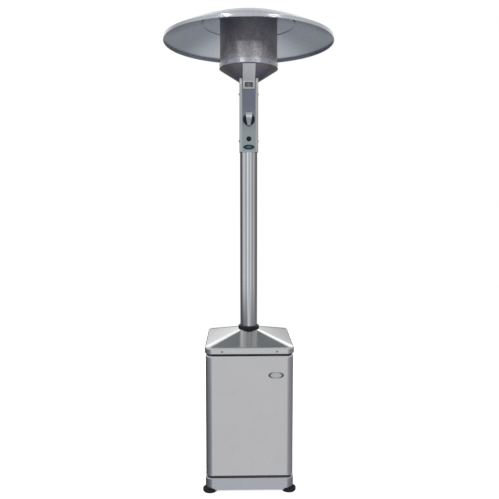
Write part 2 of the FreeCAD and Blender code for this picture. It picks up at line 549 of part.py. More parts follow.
for rr in (2.2, 1.5, 0.9):
    try:
        g2 = grip.makeFillet(rr, [e for e in grip.Edges if e.BoundBox.YMax < KB1 - 0.5 or e.BoundBox.YLength > 1.0])
        if g2.isValid() and g2.Volume > 0:
            grip = g2
            break
    except Exception as ex:
        print("   grip fillet", rr, ex)
put("knob_grip", grip)

ib = cyly(12.6, 0, BUTTON_Z, PF - 3.0, PF - 0.02)
ib = fillet_at(ib, 1.2, lambda e: abs(e.BoundBox.YLength) < 1e-4 and abs(e.BoundBox.YMin - (PF - 3.0)) < 1e-4)
ib = ib.cut(cyly(9.6, 0, BUTTON_Z, -60, -40))
put("igniter_bezel", ib)
igb = cyly(10.9, 0, BUTTON_Z, PF + 0.02, -4).fuse(cyly(16, 0, BUTTON_Z, PF + 1.55, PF + 4.5))
igb = igb.fuse(cylx(3, -9, BUTTON_Z, -14, 0)).cut(cyly(7.3, 0, BUTTON_Z, -60, -14)).cut(cyly(9.6, 0, BUTTON_Z, -60, -44.9)).removeSplitter()
put("igniter_body", igb)
btn = cyly(9.1, 0, BUTTON_Z, -60.0, -50.6)
btn = fillet_at(btn, 1.5, lambda e: abs(e.BoundBox.YLength) < 1e-4 and abs(e.BoundBox.YMin + 60.0) < 1e-4)
btn = btn.cut(Part.makeSphere(26, V(0, -60.0 - 24.8, BUTTON_Z)))
bstem = cyly(6.9, 0, BUTTON_Z, -50.6, -26)
put("igniter_button", btn.cut(cyly(7.0, 0, BUTTON_Z, -50.5, -20)).fuse(bstem).removeSplitter())
turns, z_a, z_b = 5, -25.9, -14.05
helix = Part.makeHelix((z_b - z_a - 1.3) / turns, (z_b - z_a - 1.3), 5.2)
prof = Part.Wire([Part.Circle(V(5.2, 0, 0), V(0, 1, 0), 0.5).toShape()])
coil = Part.Wire(helix.Edges).makePipeShell([prof], True, True)
coil.rotate(V(0, 0, 0), V(1, 0, 0), -90)
coil.translate(V(0, z_a + 0.65, BUTTON_Z))
put("igniter_spring", coil)
put("housing_badge", oval(57, 24, PF - 1.9, PF - 0.02, 0, 1748, 2.2))

# ---------------------------------------------------------------- burner supply, mount and leads
mount = revolve([(36, 2046), (42.4, 2046), (42.4, 2079.1), (50, 2079.1), (50, 2080.9), (22, 2080.9), (22, 2078), (36, 2078)])
LEADS = [(30, 12), (-30, 12)]                    # where the pilot's two leads pass into the bowl
for x, y in LEADS:
    mount = mount.cut(cyl(2.6, x, y, 2070, 2090))
put("burner_mount", mount)
put("burner_supply_tube", pipe([(0, -13, GV_Z1 + 8.05), (0, -13, 1965), (0, 0, 2012), (0, 0, 2056)], 4.0, 0.42, "supply"))
put("gas_orifice", cyl(7, 0, 0, 2056.05, 2064).fuse(hexa(17, 2064, 2070)).fuse(Part.makeCone(7, 4, 8, V(0, 0, 2070))).cut(cyl(1.0, 0, 0, 2050, 2090)).removeSplitter())
TC = [(9, -4, GV_Z1 + 6.05), (9, -4, 1985), (19, 4, 2028), (30, 12, 2058), (30, 12, 2092), (36, -6, 2122), (34, -22, 2146), (34, -22, 2172)]
put("thermocouple_lead", pipe(TC, 1.5, 0.42, "thermocouple"))
IG = [(-14.05, -9, BUTTON_Z), (-25, -9, BUTTON_Z), (-29, -4, 1812), (-28, 4, 1860), (-28, 4, 2020), (-30, 12, 2056), (-30, 12, 2092),
      (-33, -8, 2122), (-26, -24, 2146), (-26, -24, 2168)]
put("ignition_lead", pipe(IG, 1.6, 0.42, "ignition"))

# ---------------------------------------------------------------- burner head
th = 1.2
ang = math.atan2(CONE_Z1 - CONE_Z0, CONE_R1 - CONE_R0)
dz = th / math.cos(ang)
cone = revolve([(26, CONE_Z0), (CONE_R0, CONE_Z0), (CONE_R1, CONE_Z1), (CONE_R1 - 0.01, CONE_Z1 + 0.02),
                (CONE_R1 - 1.6, CONE_Z1 + dz - 1.0), (CONE_R0 - 0.4, CONE_Z0 + th), (26, CONE_Z0 + th)])
for i in range(10):                                  # primary air slots around the bowl's floor
    a = math.radians(36 * i + 18)
    cone = cone.cut(cyl(2.6, 42 * math.cos(a), 42 * math.sin(a), 2078, 2084))
for x, y in LEADS:
    cone = cone.cut(cyl(2.6, x, y, 2070, 2090))
put("burner_cone", cone)
band = revolve([(CONE_R1, CONE_Z1 + 0.5), (CONE_R1 + 0.6, CONE_Z1 + 1.6), (CONE_R1, CONE_Z1 + 3.2), (CONE_R1, BAND_Z1 - 2.6),
                (CONE_R1 + 0.5, BAND_Z1 - 1.4), (CONE_R1 - 0.3, BAND_Z1), (SCREEN_R + 0.1, BAND_Z1), (SCREEN_R + 0.1, CONE_Z1 + 8),
                (CONE_R1 - 1.3, CONE_Z1 + 5), (CONE_R1 - 1.3, CONE_Z1 + 0.5)])
for i in range(12):
    a = 30 * i + 12
    h = xf(cylx(2.1, 0, 2158, 140, 160), rz=a)
    band = band.cut(h)
put("emitter_band", band)
bs = pan_screw(4.2, 2.4, 2.0, 3.6)
put("band_screws", group([aim(bs, (CONE_R1 * math.cos(math.radians(30 * i + 12)), CONE_R1 * math.sin(math.radians(30 * i + 12)), 2158),
                             (math.cos(math.radians(30 * i + 12)), math.sin(math.radians(30 * i + 12)), 0)) for i in range(12)]))
screen = tube(SCREEN_R, SCREEN_R - 1.2, 0, 0, 2154, SCREEN_Z1)
for i in range(12):
    screen = screen.cut(xf(cylx(2.1, 0, 2158, 130, 160), rz=30 * i + 12))
put("emitter_screen", screen)
put("venturi_tube", revolve([(24.0, 2082.3), (25.5, 2082.3), (19.5, 2100), (19.5, 2122), (27, 2146), (25.5, 2146), (18, 2122), (18, 2100)]))
bp = cyl(143.5, 0, 0, 2156, 2157.5).cut(cyl(11, 36, -24, 2150, 2160).fuse(cyl(11, -28, -26, 2150, 2160)).fuse(box(-28, -36, 2150, 36, -31, 2160)))
for rr, n in ((60, 18), (78, 24), (96, 30), (114, 36), (130, 40)):
    for i in range(n):
        a = 2 * math.pi * (i + 0.5 * (rr % 4 == 0)) / n
        if rr == 60 and -1.35 > (a - 2 * math.pi if a > math.pi else a) - 0 > -2.2:
            continue
        bp = bp.cut(cyl(3.0, rr * math.cos(a), rr * math.sin(a), 2150, 2160))
bp = bp.fuse(revolve([(20, 2146.05), (29, 2146.05), (29, 2156), (27.5, 2156), (27.5, 2147.5), (20, 2147.5)])).cut(cyl(24, 0, 0, 2140, 2150))
put("burner_plate", bp.removeSplitter())
pil = box(-34, -32, 2168.05, 44, -14, 2171).fuse(cyl(4.5, 12, -22, 2171, 2186)).fuse(box(4, -30, 2184, 20, -14, 2186))
pil = pil.fuse(cyl(1.6, -26, -24, 2171, 2190)).cut(cyl(1.8, 34, -22, 2160, 2172))
pil = pil.fuse(cyl(2.2, 34, -22, 2172.05, 2192)).removeSplitter()
put("pilot_burner", pil)
tp = cyl(SCREEN_R - 0.1, 0, 0, SCREEN_Z1 + 0.05, SCREEN_Z1 + 1.3)
tp = tp.fuse(tube(SCREEN_R - 1.25, SCREEN_R - 2.4, 0, 0, SCREEN_Z1 - 12, SCREEN_Z1 + 1.0))
STUDS = [(80 * math.cos(math.radians(a)), 80 * math.sin(math.radians(a))) for a in (30, 150, 270)]
for x, y in STUDS:
    tp = tp.cut(cyl(3.2, x, y, 2380, 2395))
put("emitter_top_plate", tp.removeSplitter())

# ---------------------------------------------------------------- pilot cover (chute from the housing to the band)
y0_, y1_ = -53.0, -151.6
zb, zk, zt = 2038.0, 2078.0, 2141.0


def chute(half, t0):
    pts = [(y0_ - t0, zb), (y0_ - t0, zk), (y1_ - t0, zt)]
    return pts


fr = [(y0_, zb), (y0_, zk), (y1_, zt), (y1_ + 1.0, zt + 1.1), (y0_ + 1.4, zk + 0.7), (y0_ + 1.4, zb)]
w = Part.makePolygon([V(-31, y, z) for y, z in fr] + [V(-31, fr[0][0], fr[0][1])])
front = Part.Face(w).extrude(V(62, 0, 0))
side_pts = [(y0_ + 0.5, zb), (y0_ + 0.5, zk), (y1_ + 0.4, zt), (y1_ + 0.8, zt + 6), (-49.6, 2082), (-46.8, 2076), (-46.8, zb)]
ws = Part.makePolygon([V(-31, y, z) for y, z in side_pts] + [V(-31, side_pts[0][0], side_pts[0][1])])
sideL = Part.Face(ws).extrude(V(1.3, 0, 0))
sideR = sideL.copy()
sideR.translate(V(60.7, 0, 0))
pc = front.fuse(sideL).fuse(sideR).cut(cone_out).removeSplitter()
pc = pc.cut(box(-20, -60, 2047.5, 20, -48, 2071.5))
put("pilot_cover", sorted(pc.Solids, key=lambda s: -s.Volume)[0])
put("pilot_window", box(-23, y0_ + 1.45, 2045, 23, y0_ + 2.9, 2074))

# ---------------------------------------------------------------- reflector
def dome_profile(rmax, drop, n=14):
    return [(rmax * i / n, 0, dome_z(rmax * i / n, drop)) for i in range(n + 1)]


T = 1.2
outp = dome_profile(DOME_R, 0.0)
inp = dome_profile(DOME_R - T, T)
hem = [seg(outp[-1], (DOME_R, 0, RIM_Z + 2.2)),
       arc3((DOME_R, 0, RIM_Z + 2.2), (DOME_R - 2.2, 0, RIM_Z), (DOME_R - 4.4, 0, RIM_Z + 2.2)),
       seg((DOME_R - 4.4, 0, RIM_Z + 2.2), (DOME_R - 4.4, 0, RIM_Z + 4.2)),
       seg((DOME_R - 4.4, 0, RIM_Z + 4.2), (DOME_R - T, 0, RIM_Z + 4.2)),
       seg((DOME_R - T, 0, RIM_Z + 4.2), inp[-1])]
dome = Part.Face(Part.Wire([spline(outp)] + hem + [spline(inp[::-1]), seg(inp[0], outp[0])])).revolve(V(0, 0, 0), V(0, 0, 1), 360)
for x, y in STUDS:
    dome = dome.cut(cyl(3.3, x, y, 2300, 2500))
put("reflector_dome", dome)
GAP = 7.0
o2 = dome_profile(DISC_R, GAP)
i2 = dome_profile(DISC_R - T, GAP + T)
ze = o2[-1][2]                                         # the disc's edge is turned down in a narrow hem
hem2 = [seg(o2[-1], (DISC_R, 0, ze - 4.0)), seg((DISC_R, 0, ze - 4.0), (DISC_R - T, 0, ze - 4.0)), seg((DISC_R - T, 0, ze - 4.0), i2[-1])]
disc = Part.Face(Part.Wire([spline(o2)] + hem2 + [spline(i2[::-1]), seg(i2[0], o2[0])])).revolve(V(0, 0, 0), V(0, 0, 1), 360)
for x, y in STUDS:
    disc = disc.cut(cyl(3.3, x, y, 2300, 2500))
put("heat_deflector", disc)
z80 = dome_z(80)
st_, nt_ = [], []
for x, y in STUDS:
    st_.append(cyl(3.0, x, y, SCREEN_Z1 - 8, z80 + 9).fuse(hexa(10, SCREEN_Z1 - 6, SCREEN_Z1, x, y)).removeSplitter())
    n = hexa(11, z80 + 2.2, z80 + 7.4, x, y).fuse(cyl(9, x, y, z80 + 1.4, z80 + 2.2)).cut(cyl(3.02, x, y, 2300, 2500))
    nt_.append(n.removeSplitter())
    sp = cyl(5.5, x, y, dome_z(80, GAP) + 1.0, z80 - T - 1.0).cut(cyl(3.02, x, y, 2300, 2500))
    nt_.append(sp)
put("reflector_studs", group(st_))
put("reflector_nuts", group(nt_))

# ---------------------------------------------------------------- pieces that share one file
GROUPS = {
    "foot_fasteners": ["foot_bolts", "foot_nuts"],
    "cylinder_strap": ["cylinder_strap", "strap_rail"],
    "valve_handwheel": ["valve_handwheel", "handwheel_stem"],
    "hinge_pins": ["hinge_pins", "hinge_brackets"],
    "fixing_screws": ["cover_screws", "housing_screws", "band_screws"],
    "reflector_fasteners": ["reflector_studs", "reflector_nuts"],
    "cylinder_rings": ["cylinder_foot_ring", "cylinder_guard"],
    "door_reinforcement": ["door_stiffener", "door_hinge_plates"],
    "burner_supply": ["burner_supply_tube", "gas_orifice"],
}
for g, members in GROUPS.items():
    solids = []
    for m in members:
        solids += nodes.pop(m).Solids
    nodes[g] = Part.makeCompound(solids)

# ---------------------------------------------------------------- write the files
for name, s in nodes.items():
    s = s.copy()
    s.translate(V(0, 0, -FLOOR))
    solids = s.Solids
    bad = [i for i, q in enumerate(solids) if not q.isValid() or q.Volume <= 0]
    bb = s.BoundBox
    print("%-20s solids %2d  vol %10.0f  X %7.1f %7.1f  Y %7.1f %7.1f  Z %7.1f %7.1f %s" % (
        name, len(solids), s.Volume, bb.XMin, bb.XMax, bb.YMin, bb.YMax, bb.ZMin, bb.ZMax, "BAD %s" % bad if bad else ""))
    (solids[0] if len(solids) == 1 else Part.makeCompound(solids)).exportStep("parts/%s.step" % name)
print(len(nodes), "nodes")
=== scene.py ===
import bpy
import bmesh
import math
from mathutils import Vector, Matrix


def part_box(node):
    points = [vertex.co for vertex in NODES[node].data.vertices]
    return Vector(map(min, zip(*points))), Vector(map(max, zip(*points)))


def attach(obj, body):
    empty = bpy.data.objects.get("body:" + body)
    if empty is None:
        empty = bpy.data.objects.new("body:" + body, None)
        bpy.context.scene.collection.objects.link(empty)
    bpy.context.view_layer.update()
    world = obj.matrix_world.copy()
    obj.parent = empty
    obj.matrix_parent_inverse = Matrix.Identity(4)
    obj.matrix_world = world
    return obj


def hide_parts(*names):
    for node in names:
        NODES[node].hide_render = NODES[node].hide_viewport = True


# Free-standing gas outdoor heater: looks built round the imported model. Metres, +Z up, front towards -Y.

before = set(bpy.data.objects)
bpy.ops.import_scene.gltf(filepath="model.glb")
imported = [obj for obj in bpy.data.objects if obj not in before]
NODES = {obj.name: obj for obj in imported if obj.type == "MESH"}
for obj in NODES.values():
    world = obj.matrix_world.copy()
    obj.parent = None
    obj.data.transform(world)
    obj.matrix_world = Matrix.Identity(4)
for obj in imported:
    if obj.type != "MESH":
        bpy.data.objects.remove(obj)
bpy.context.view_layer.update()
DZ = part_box("pole")[0].z - 0.734          # heights below are written for a pole foot at 0.734

sc = bpy.context.scene
sc.view_settings.view_transform = "Standard"
sc.view_settings.look = "None"
sc.view_settings.exposure = 0.0
sc.view_settings.gamma = 1.0


# ------------------------------------------------------------------ node helpers
def lin(r, g=None, b=None):
    """Display values 0-255 to linear."""
    def f(c):
        c = c / 255.0
        return c / 12.92 if c <= 0.04045 else ((c + 0.055) / 1.055) ** 2.4
    if g is None:
        g = b = r
    return (f(r), f(g), f(b), 1.0)


class Tree:
    def __init__(self, tree):
        self.t = tree

    def new(self, kind, **props):
        n = self.t.nodes.new(kind)
        for k, v in props.items():
            setattr(n, k, v)
        return n

    def put(self, socket, value):
        if isinstance(value, bpy.types.NodeSocket):
            self.t.links.new(value, socket)
        elif value is not None:
            socket.default_value = value

    def math(self, op, a, b=None, c=None, clamp=False):
        n = self.new("ShaderNodeMath", operation=op, use_clamp=clamp)
        self.put(n.inputs[0], a)
        if b is not None:
            self.put(n.inputs[1], b)
        if c is not None:
            self.put(n.inputs[2], c)
        return n.outputs[0]

    def vmath(self, op, a, b=None):
        n = self.new("ShaderNodeVectorMath", operation=op)
        self.put(n.inputs[0], a)
        if b is not None:
            self.put(n.inputs[1], b)
        return n.outputs["Value"] if op in ("LENGTH", "DOT_PRODUCT") else n.outputs["Vector"]

    def sep(self, v):
        n = self.new("ShaderNodeSeparateXYZ")
        self.put(n.inputs[0], v)
        return n.outputs[0], n.outputs[1], n.outputs[2]

    def comb(self, x, y, z):
        n = self.new("ShaderNodeCombineXYZ")
        for s, v in zip(n.inputs, (x, y, z)):
            self.put(s, v)
        return n.outputs[0]

    def noise(self, v, scale=1.0, detail=2.0, rough=0.5, distortion=0.0):
        n = self.new("ShaderNodeTexNoise")
        self.put(n.inputs["Vector"], v)
        n.inputs["Scale"].default_value = scale
        n.inputs["Detail"].default_value = detail
        n.inputs["Roughness"].default_value = rough
        n.inputs["Distortion"].default_value = distortion
        return n.outputs[0]

    def voronoi(self, v, scale=1.0, feature="F1", output="Distance", randomness=1.0):
        n = self.new("ShaderNodeTexVoronoi", feature=feature)
        self.put(n.inputs["Vector"], v)
        n.inputs["Scale"].default_value = scale
        n.inputs["Randomness"].default_value = randomness
        return n.outputs[output]

    def ramp(self, fac, stops, mode="LINEAR"):
        n = self.new("ShaderNodeValToRGB")
        n.color_ramp.interpolation = mode
        els = n.color_ramp.elements
        while len(els) > 1:
            els.remove(els[-1])
        for i, (p, c) in enumerate(stops):
            e = els[0] if i == 0 else els.new(p)
            e.position = p
            e.color = c if hasattr(c, "__len__") else (c, c, c, 1.0)
        self.put(n.inputs[0], fac)
        return n.outputs[0]

    def remap(self, v, a, b, c=0.0, d=1.0, smooth=False):
        n = self.new("ShaderNodeMapRange")
        if smooth:
            n.interpolation_type = "SMOOTHSTEP"
        self.put(n.inputs[0], v)
        for i, x in zip((1, 2, 3, 4), (a, b, c, d)):
            n.inputs[i].default_value = x
        return n.outputs[0]

    def mix(self, fac, a, b, blend="MIX"):
        n = self.new("ShaderNodeMix", data_type="RGBA", blend_type=blend, clamp_factor=True)
        self.put(n.inputs[0], fac)
        self.put(n.inputs[6], a)
        self.put(n.inputs[7], b)
        return n.outputs[2]

    def bump(self, height, distance, strength=1.0, normal=None):
        n = self.new("ShaderNodeBump")
        n.inputs["Strength"].default_value = strength
        n.inputs["Distance"].default_value = distance
        self.put(n.inputs["Height"], height)
        if normal is not None:
            self.put(n.inputs["Normal"], normal)
        return n.outputs[0]


class Mat(Tree):
    def __init__(self, name, metallic=0.0, rough=0.5, specular=0.5, aniso=0.0, aniso_turn=0.0, tangent=None, coat=0.0, coat_rough=0.05):
        m = bpy.data.materials.new(name)
        m.use_nodes = True
        super().__init__(m.node_tree)
        self.m = m
        self.b = m.node_tree.nodes["Principled BSDF"]
        self.b.inputs["Metallic"].default_value = metallic
        self.b.inputs["Roughness"].default_value = rough
        self.b.inputs["Specular IOR Level"].default_value = specular
        self.b.inputs["Anisotropic"].default_value = aniso
        self.b.inputs["Anisotropic Rotation"].default_value = aniso_turn
        self.b.inputs["Coat Weight"].default_value = coat
        self.b.inputs["Coat Roughness"].default_value = coat_rough
        if tangent:
            t = self.new("ShaderNodeTangent", direction_type="RADIAL", axis=tangent)
            self.put(self.b.inputs["Tangent"], t.outputs[0])
        self.P = self.new("ShaderNodeTexCoord").outputs["Object"]

    def scaled(self, sx, sy, sz, off=(0.0, 0.0, 0.0)):
        n = self.new("ShaderNodeMapping")
        n.inputs["Scale"].default_value = (sx, sy, sz)
        n.inputs["Location"].default_value = off
        self.put(n.inputs[0], self.P)
        return n.outputs[0]

    def color(self, v):
        self.put(self.b.inputs["Base Color"], v)

    def rough(self, v):
        self.put(self.b.inputs["Roughness"], v)

    def normal(self, v):
        self.put(self.b.inputs["Normal"], v)


def shade(m, base, factor):
    """base colour times a 0-1-ish grey socket."""
    return m.mix(1.0, base, factor, "MULTIPLY")


def grey(m, v):
    return m.comb(v, v, v)


# ------------------------------------------------------------------ materials
def brushed(name, base, rough=0.24, grain="z", aniso=0.45, fine=620.0, along=7.0, depth=0.00002, contrast=0.10, blotch=0.06,
            smudge=0.05, centre=(0.0, 0.0, 0.0), height_tone_and_painted_highlight=None, metallic=1.0):
    """Brushed stainless: streaks run along `grain` (x, y, z, or ring about +Z)."""
    turn = 0.25 if grain == "ring" else 0.0
    m = Mat(name, metallic=metallic, rough=rough, aniso=aniso, aniso_turn=turn, tangent="Z" if grain in ("z", "ring") else None)
    if grain == "ring":
        x, y, z = m.sep(m.P)
        r = m.vmath("LENGTH", m.comb(x, y, 0.0))
        ang = m.math("ARCTAN2", y, x)
        v1 = m.comb(m.math("MULTIPLY", r, fine), m.math("MULTIPLY", z, fine), m.math("MULTIPLY", ang, 1.2))
        v2 = m.comb(m.math("MULTIPLY", r, fine * 0.2), m.math("MULTIPLY", z, fine * 0.2), m.math("MULTIPLY", ang, 0.6))
    else:
        s = {"x": (along, fine, fine), "y": (fine, along, fine), "z": (fine, fine, along)}[grain]
        v1 = m.scaled(*s, off=centre)
        v2 = m.scaled(*[q * 0.22 for q in s], off=centre)
    a = m.noise(v1, 1.0, 3.0, 0.6)
    b = m.noise(v2, 1.0, 2.0, 0.5)
    streak = m.math("ADD", m.math("MULTIPLY", a, 0.62), m.math("MULTIPLY", b, 0.38))
    big = m.noise(m.scaled(4.5, 4.5, 4.5, off=(3.1, 1.7, 0.4)), 1.0, 3.0, 0.55)
    prints = m.remap(m.noise(m.scaled(17, 17, 17, off=(0.3, 2.2, 5.1)), 1.0, 4.0, 0.6, 0.6), 0.52, 0.72)
    f = m.math("ADD", m.remap(streak, 0.25, 0.75, 1 - contrast, 1 + contrast * 0.6), m.remap(big, 0.3, 0.7, -blotch, blotch))
    # on the control panel this height tone makes the upper part darker; on the knob grip the light upper tone is a
    # painted highlight
    if height_tone_and_painted_highlight:                                     # slow change of tone with height: (z0, z1, low tone, high tone)
        hz = m.math("ADD", m.sep(m.P)[2], m.remap(big, 0.3, 0.7, -0.025, 0.025))
        base = m.mix(m.remap(hz, height_tone_and_painted_highlight[0] + DZ, height_tone_and_painted_highlight[1] + DZ, smooth=True), height_tone_and_painted_highlight[2], height_tone_and_painted_highlight[3])
    m.color(shade(m, base, grey(m, f)))
    rr = m.math("ADD", m.remap(streak, 0.2, 0.8, rough - 0.05, rough + 0.06), m.math("MULTIPLY", prints, smudge))
    m.rough(rr)
    m.normal(m.bump(streak, depth, 0.35))
    return m.m


def galvanised(name, base=(0.40, 0.41, 0.42, 1)):
    m = Mat(name, metallic=1.0, rough=0.42)
    cell = m.voronoi(m.scaled(95, 95, 95), 1.0, output="Color")
    c = m.sep(cell)[0]
    fine = m.noise(m.scaled(420, 420, 420), 1.0, 3.0)
    stain = m.remap(m.noise(m.scaled(9, 9, 14), 1.0, 4.0, 0.6), 0.45, 0.75)
    col = shade(m, base, grey(m, m.remap(c, 0, 1, 0.80, 1.16)))
    m.color(m.mix(m.math("MULTIPLY", stain, 0.35), col, (0.20, 0.19, 0.175, 1)))
    m.rough(m.math("ADD", m.remap(c, 0, 1, 0.34, 0.5), m.math("MULTIPLY", stain, 0.12)))
    m.normal(m.bump(m.math("ADD", m.math("MULTIPLY", fine, 0.4), c), 0.00004, 0.3))
    return m.m


def painted(name, base, rough=0.38, peel=260.0, depth=0.00005, metallic=0.0, dust=0.12, coat=0.15, dust_color=(0.34, 0.32, 0.29, 1)):
    m = Mat(name, metallic=metallic, rough=rough, coat=coat, coat_rough=0.18)
    p = m.noise(m.scaled(peel, peel, peel), 1.0, 2.0, 0.4)
    big = m.noise(m.scaled(6, 6, 6, off=(1, 2, 3)), 1.0, 4.0, 0.6)
    speck = m.remap(m.noise(m.scaled(55, 55, 55), 1.0, 5.0, 0.7), 0.62, 0.74)
    nz = m.sep(m.new("ShaderNodeNewGeometry").outputs["Normal"])[2]
    top = m.math("MULTIPLY", m.remap(nz, 0.3, 1.0), m.remap(big, 0.35, 0.65))
    col = shade(m, base, grey(m, m.remap(big, 0.3, 0.7, 0.90, 1.08)))
    col = m.mix(m.math("MULTIPLY", speck, 0.18), col, shade(m, base, (0.55, 0.53, 0.5, 1)))
    m.color(m.mix(m.math("MULTIPLY", top, dust), col, dust_color))
    m.rough(m.math("ADD", m.remap(big, 0.3, 0.7, rough - 0.05, rough + 0.07), m.math("MULTIPLY", top, 0.2)))
    m.normal(m.bump(p, depth, 0.4))
    return m.m


def plastic(name, base, rough=0.42, grain=900.0, depth=0.00004, sheen_dust=0.10, specular=0.5):
    m = Mat(name, rough=rough, specular=specular)
    g = m.voronoi(m.scaled(grain, grain, grain), 1.0)
    g2 = m.noise(m.scaled(grain * 0.35, grain * 0.35, grain * 0.35), 1.0, 3.0, 0.6)
    big = m.noise(m.scaled(26, 26, 26), 1.0, 4.0, 0.6)
    nz = m.sep(m.new("ShaderNodeNewGeometry").outputs["Normal"])[2]
    top = m.math("MULTIPLY", m.remap(nz, 0.2, 1.0), m.remap(big, 0.4, 0.65))
    col = shade(m, base, grey(m, m.remap(g2, 0.3, 0.7, 0.85, 1.2)))
    m.color(m.mix(m.math("MULTIPLY", top, sheen_dust), col, (0.26, 0.25, 0.24, 1)))
    m.rough(m.math("ADD", m.remap(big, 0.3, 0.7, rough - 0.07, rough + 0.08), m.math("MULTIPLY", top, 0.15)))
    m.normal(m.bump(m.math("ADD", g, g2), depth, 0.45))
    return m.m


def rubber(name, base=(0.007, 0.0075, 0.013, 1), rough=0.62, scuff_z=None):
    m = Mat(name, rough=rough, specular=0.2)
    g = m.noise(m.scaled(700, 700, 700), 1.0, 4.0, 0.65)
    big = m.noise(m.scaled(30, 30, 30), 1.0, 4.0, 0.6)
    z = m.sep(m.P)[2]
    dirt = m.remap(big, 0.42, 0.66)
    if scuff_z is not None:
        dirt = m.math("MULTIPLY", dirt, m.remap(z, scuff_z, 0.0, 0.15, 1.0))
    col = shade(m, base, grey(m, m.remap(g, 0.3, 0.7, 0.8, 1.3)))
    m.color(m.mix(m.math("MULTIPLY", dirt, 0.22), col, (0.09, 0.085, 0.08, 1)))
    m.rough(m.remap(big, 0.3, 0.7, rough - 0.10, rough + 0.12))
    m.normal(m.bump(g, 0.00006, 0.5))
    return m.m


def turned(name, base, rough=0.28, fine=900.0, tarnish=(0.30, 0.22, 0.12, 1), amount=0.35):
    m = Mat(name, metallic=1.0, rough=rough)
    g = m.noise(m.scaled(fine, fine, fine), 1.0, 3.0, 0.6)
    rings = m.noise(m.scaled(60, 60, 1500), 1.0, 2.0, 0.5)
    big = m.noise(m.scaled(48, 48, 48), 1.0, 4.0, 0.65)
    t = m.remap(big, 0.42, 0.70)
    col = shade(m, base, grey(m, m.remap(rings, 0.3, 0.7, 0.9, 1.1)))
    m.color(m.mix(m.math("MULTIPLY", t, amount), col, tarnish))
    m.rough(m.math("ADD", m.remap(g, 0.3, 0.7, rough - 0.05, rough + 0.08), m.math("MULTIPLY", t, 0.2)))
    m.normal(m.bump(m.math("ADD", g, rings), 0.00002, 0.35))
    return m.m


def heated(name, base, tints, z0, z1, rough=0.36, mottle=0.5, ring=True):
    """Steel that has been hot: temper colours that follow the height, with scale and soot blotches."""
    m = Mat(name, metallic=1.0, rough=rough)
    x, y, z = m.sep(m.P)
    n1 = m.noise(m.scaled(22, 22, 22), 1.0, 5.0, 0.65)
    n2 = m.noise(m.scaled(120, 120, 120), 1.0, 4.0, 0.7)
    n3 = m.noise(m.scaled(650, 650, 650), 1.0, 2.0, 0.5)
    h = m.math("ADD", m.remap(z, z0 + DZ, z1 + DZ), m.remap(n1, 0.3, 0.7, -0.22, 0.22))
    tint = m.ramp(h, tints)
    r = m.vmath("LENGTH", m.comb(x, y, 0.0))
    rings = m.noise(m.comb(m.math("MULTIPLY", r, 700.0), m.math("MULTIPLY", z, 700.0), 0.0), 1.0, 2.0, 0.5)
    f = m.math("ADD", m.remap(n2, 0.3, 0.7, 1 - mottle * 0.4, 1 + mottle * 0.4), m.remap(rings, 0.3, 0.7, -0.06, 0.06))
    col = shade(m, m.mix(1.0, base, tint, "MULTIPLY"), grey(m, f))
    m.color(col)
    m.rough(m.math("ADD", m.remap(n2, 0.3, 0.7, rough - 0.08, rough + 0.12), m.remap(n3, 0.3, 0.7, -0.03, 0.03)))
    m.normal(m.bump(m.math("ADD", n3, m.math("MULTIPLY", rings, 0.6)), 0.00003, 0.35))
    return m.m


def badge(name, node, rim, field, centre_tone, painted_shade_at_ends):
    """Oval plate with a plain field and a ring; the ring can be made strongest towards its two ends, which is painted
    shade on the sides of a rounded rim.
    """
    m = Mat(name, metallic=1.0, rough=0.2)
    lo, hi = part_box(node)
    x, y, z = m.sep(m.P)
    u = m.math("MULTIPLY", m.math("SUBTRACT", x, (lo.x + hi.x) / 2), 2 / (hi.x - lo.x))
    v = m.math("MULTIPLY", m.math("SUBTRACT", z, (lo.z + hi.z) / 2), 2 / (hi.z - lo.z))
    e = m.vmath("LENGTH", m.comb(u, v, 0.0))
    ring = m.remap(e, 0.66, 0.76, smooth=True)
    # painted shade: the rim is darkened most towards its left and right ends
    if painted_shade_at_ends:
        ring = m.math("MULTIPLY", ring, m.remap(m.math("ABSOLUTE", u), 0.25, 0.75, 0.25, 1.0, smooth=True))
    g = m.noise(m.scaled(1400, 1400, 1400), 1.0, 3.0, 0.6)
    br = m.noise(m.scaled(30, 30, 1600), 1.0, 2.0, 0.5)
    inner = m.mix(m.remap(e, 0.15, 0.6, smooth=True), centre_tone, field)
    col = m.mix(ring, shade(m, inner, grey(m, m.remap(br, 0.3, 0.7, 0.92, 1.06))), shade(m, rim, grey(m, m.remap(g, 0.3, 0.7, 0.9, 1.05))))
    m.color(col)
    m.rough(m.math("ADD", m.remap(ring, 0, 1, 0.26, 0.17), m.remap(g, 0.3, 0.7, -0.03, 0.05)))
    m.normal(m.bump(m.math("ADD", g, br), 0.00001, 0.3))
    return m.m


STEEL = (0.62, 0.62, 0.625, 1)
M = {}
M["door"] = brushed("door_brushed_steel", (0.665, 0.658, 0.664, 1), rough=0.23, grain="z", aniso=0.35, contrast=0.05, blotch=0.012, smudge=0.035)
M["shell"] = brushed("shell_brushed_steel", (0.62, 0.62, 0.63, 1), rough=0.23, grain="z", aniso=0.35, contrast=0.05, blotch=0.012, smudge=0.035,
                     centre=(0.7, 0.2, 0.1))
M["plinth"] = brushed("plinth_brushed_steel", (0.535, 0.55, 0.59, 1), rough=0.22, grain="z", aniso=0.35, contrast=0.03, blotch=0.015, smudge=0.04, depth=0.00001)
M["cover"] = brushed("cover_brushed_steel", (0.64, 0.645, 0.655, 1), rough=0.13, grain="x", aniso=0.0, contrast=0.03, blotch=0.02, smudge=0.04, along=9.0,
                     depth=0.000006)
M["pole"] = brushed("pole_bright_steel", (0.63, 0.635, 0.64, 1), rough=0.075, grain="z", aniso=0.0, contrast=0.03, blotch=0.02, smudge=0.03, along=3.0,
                    depth=0.000005)
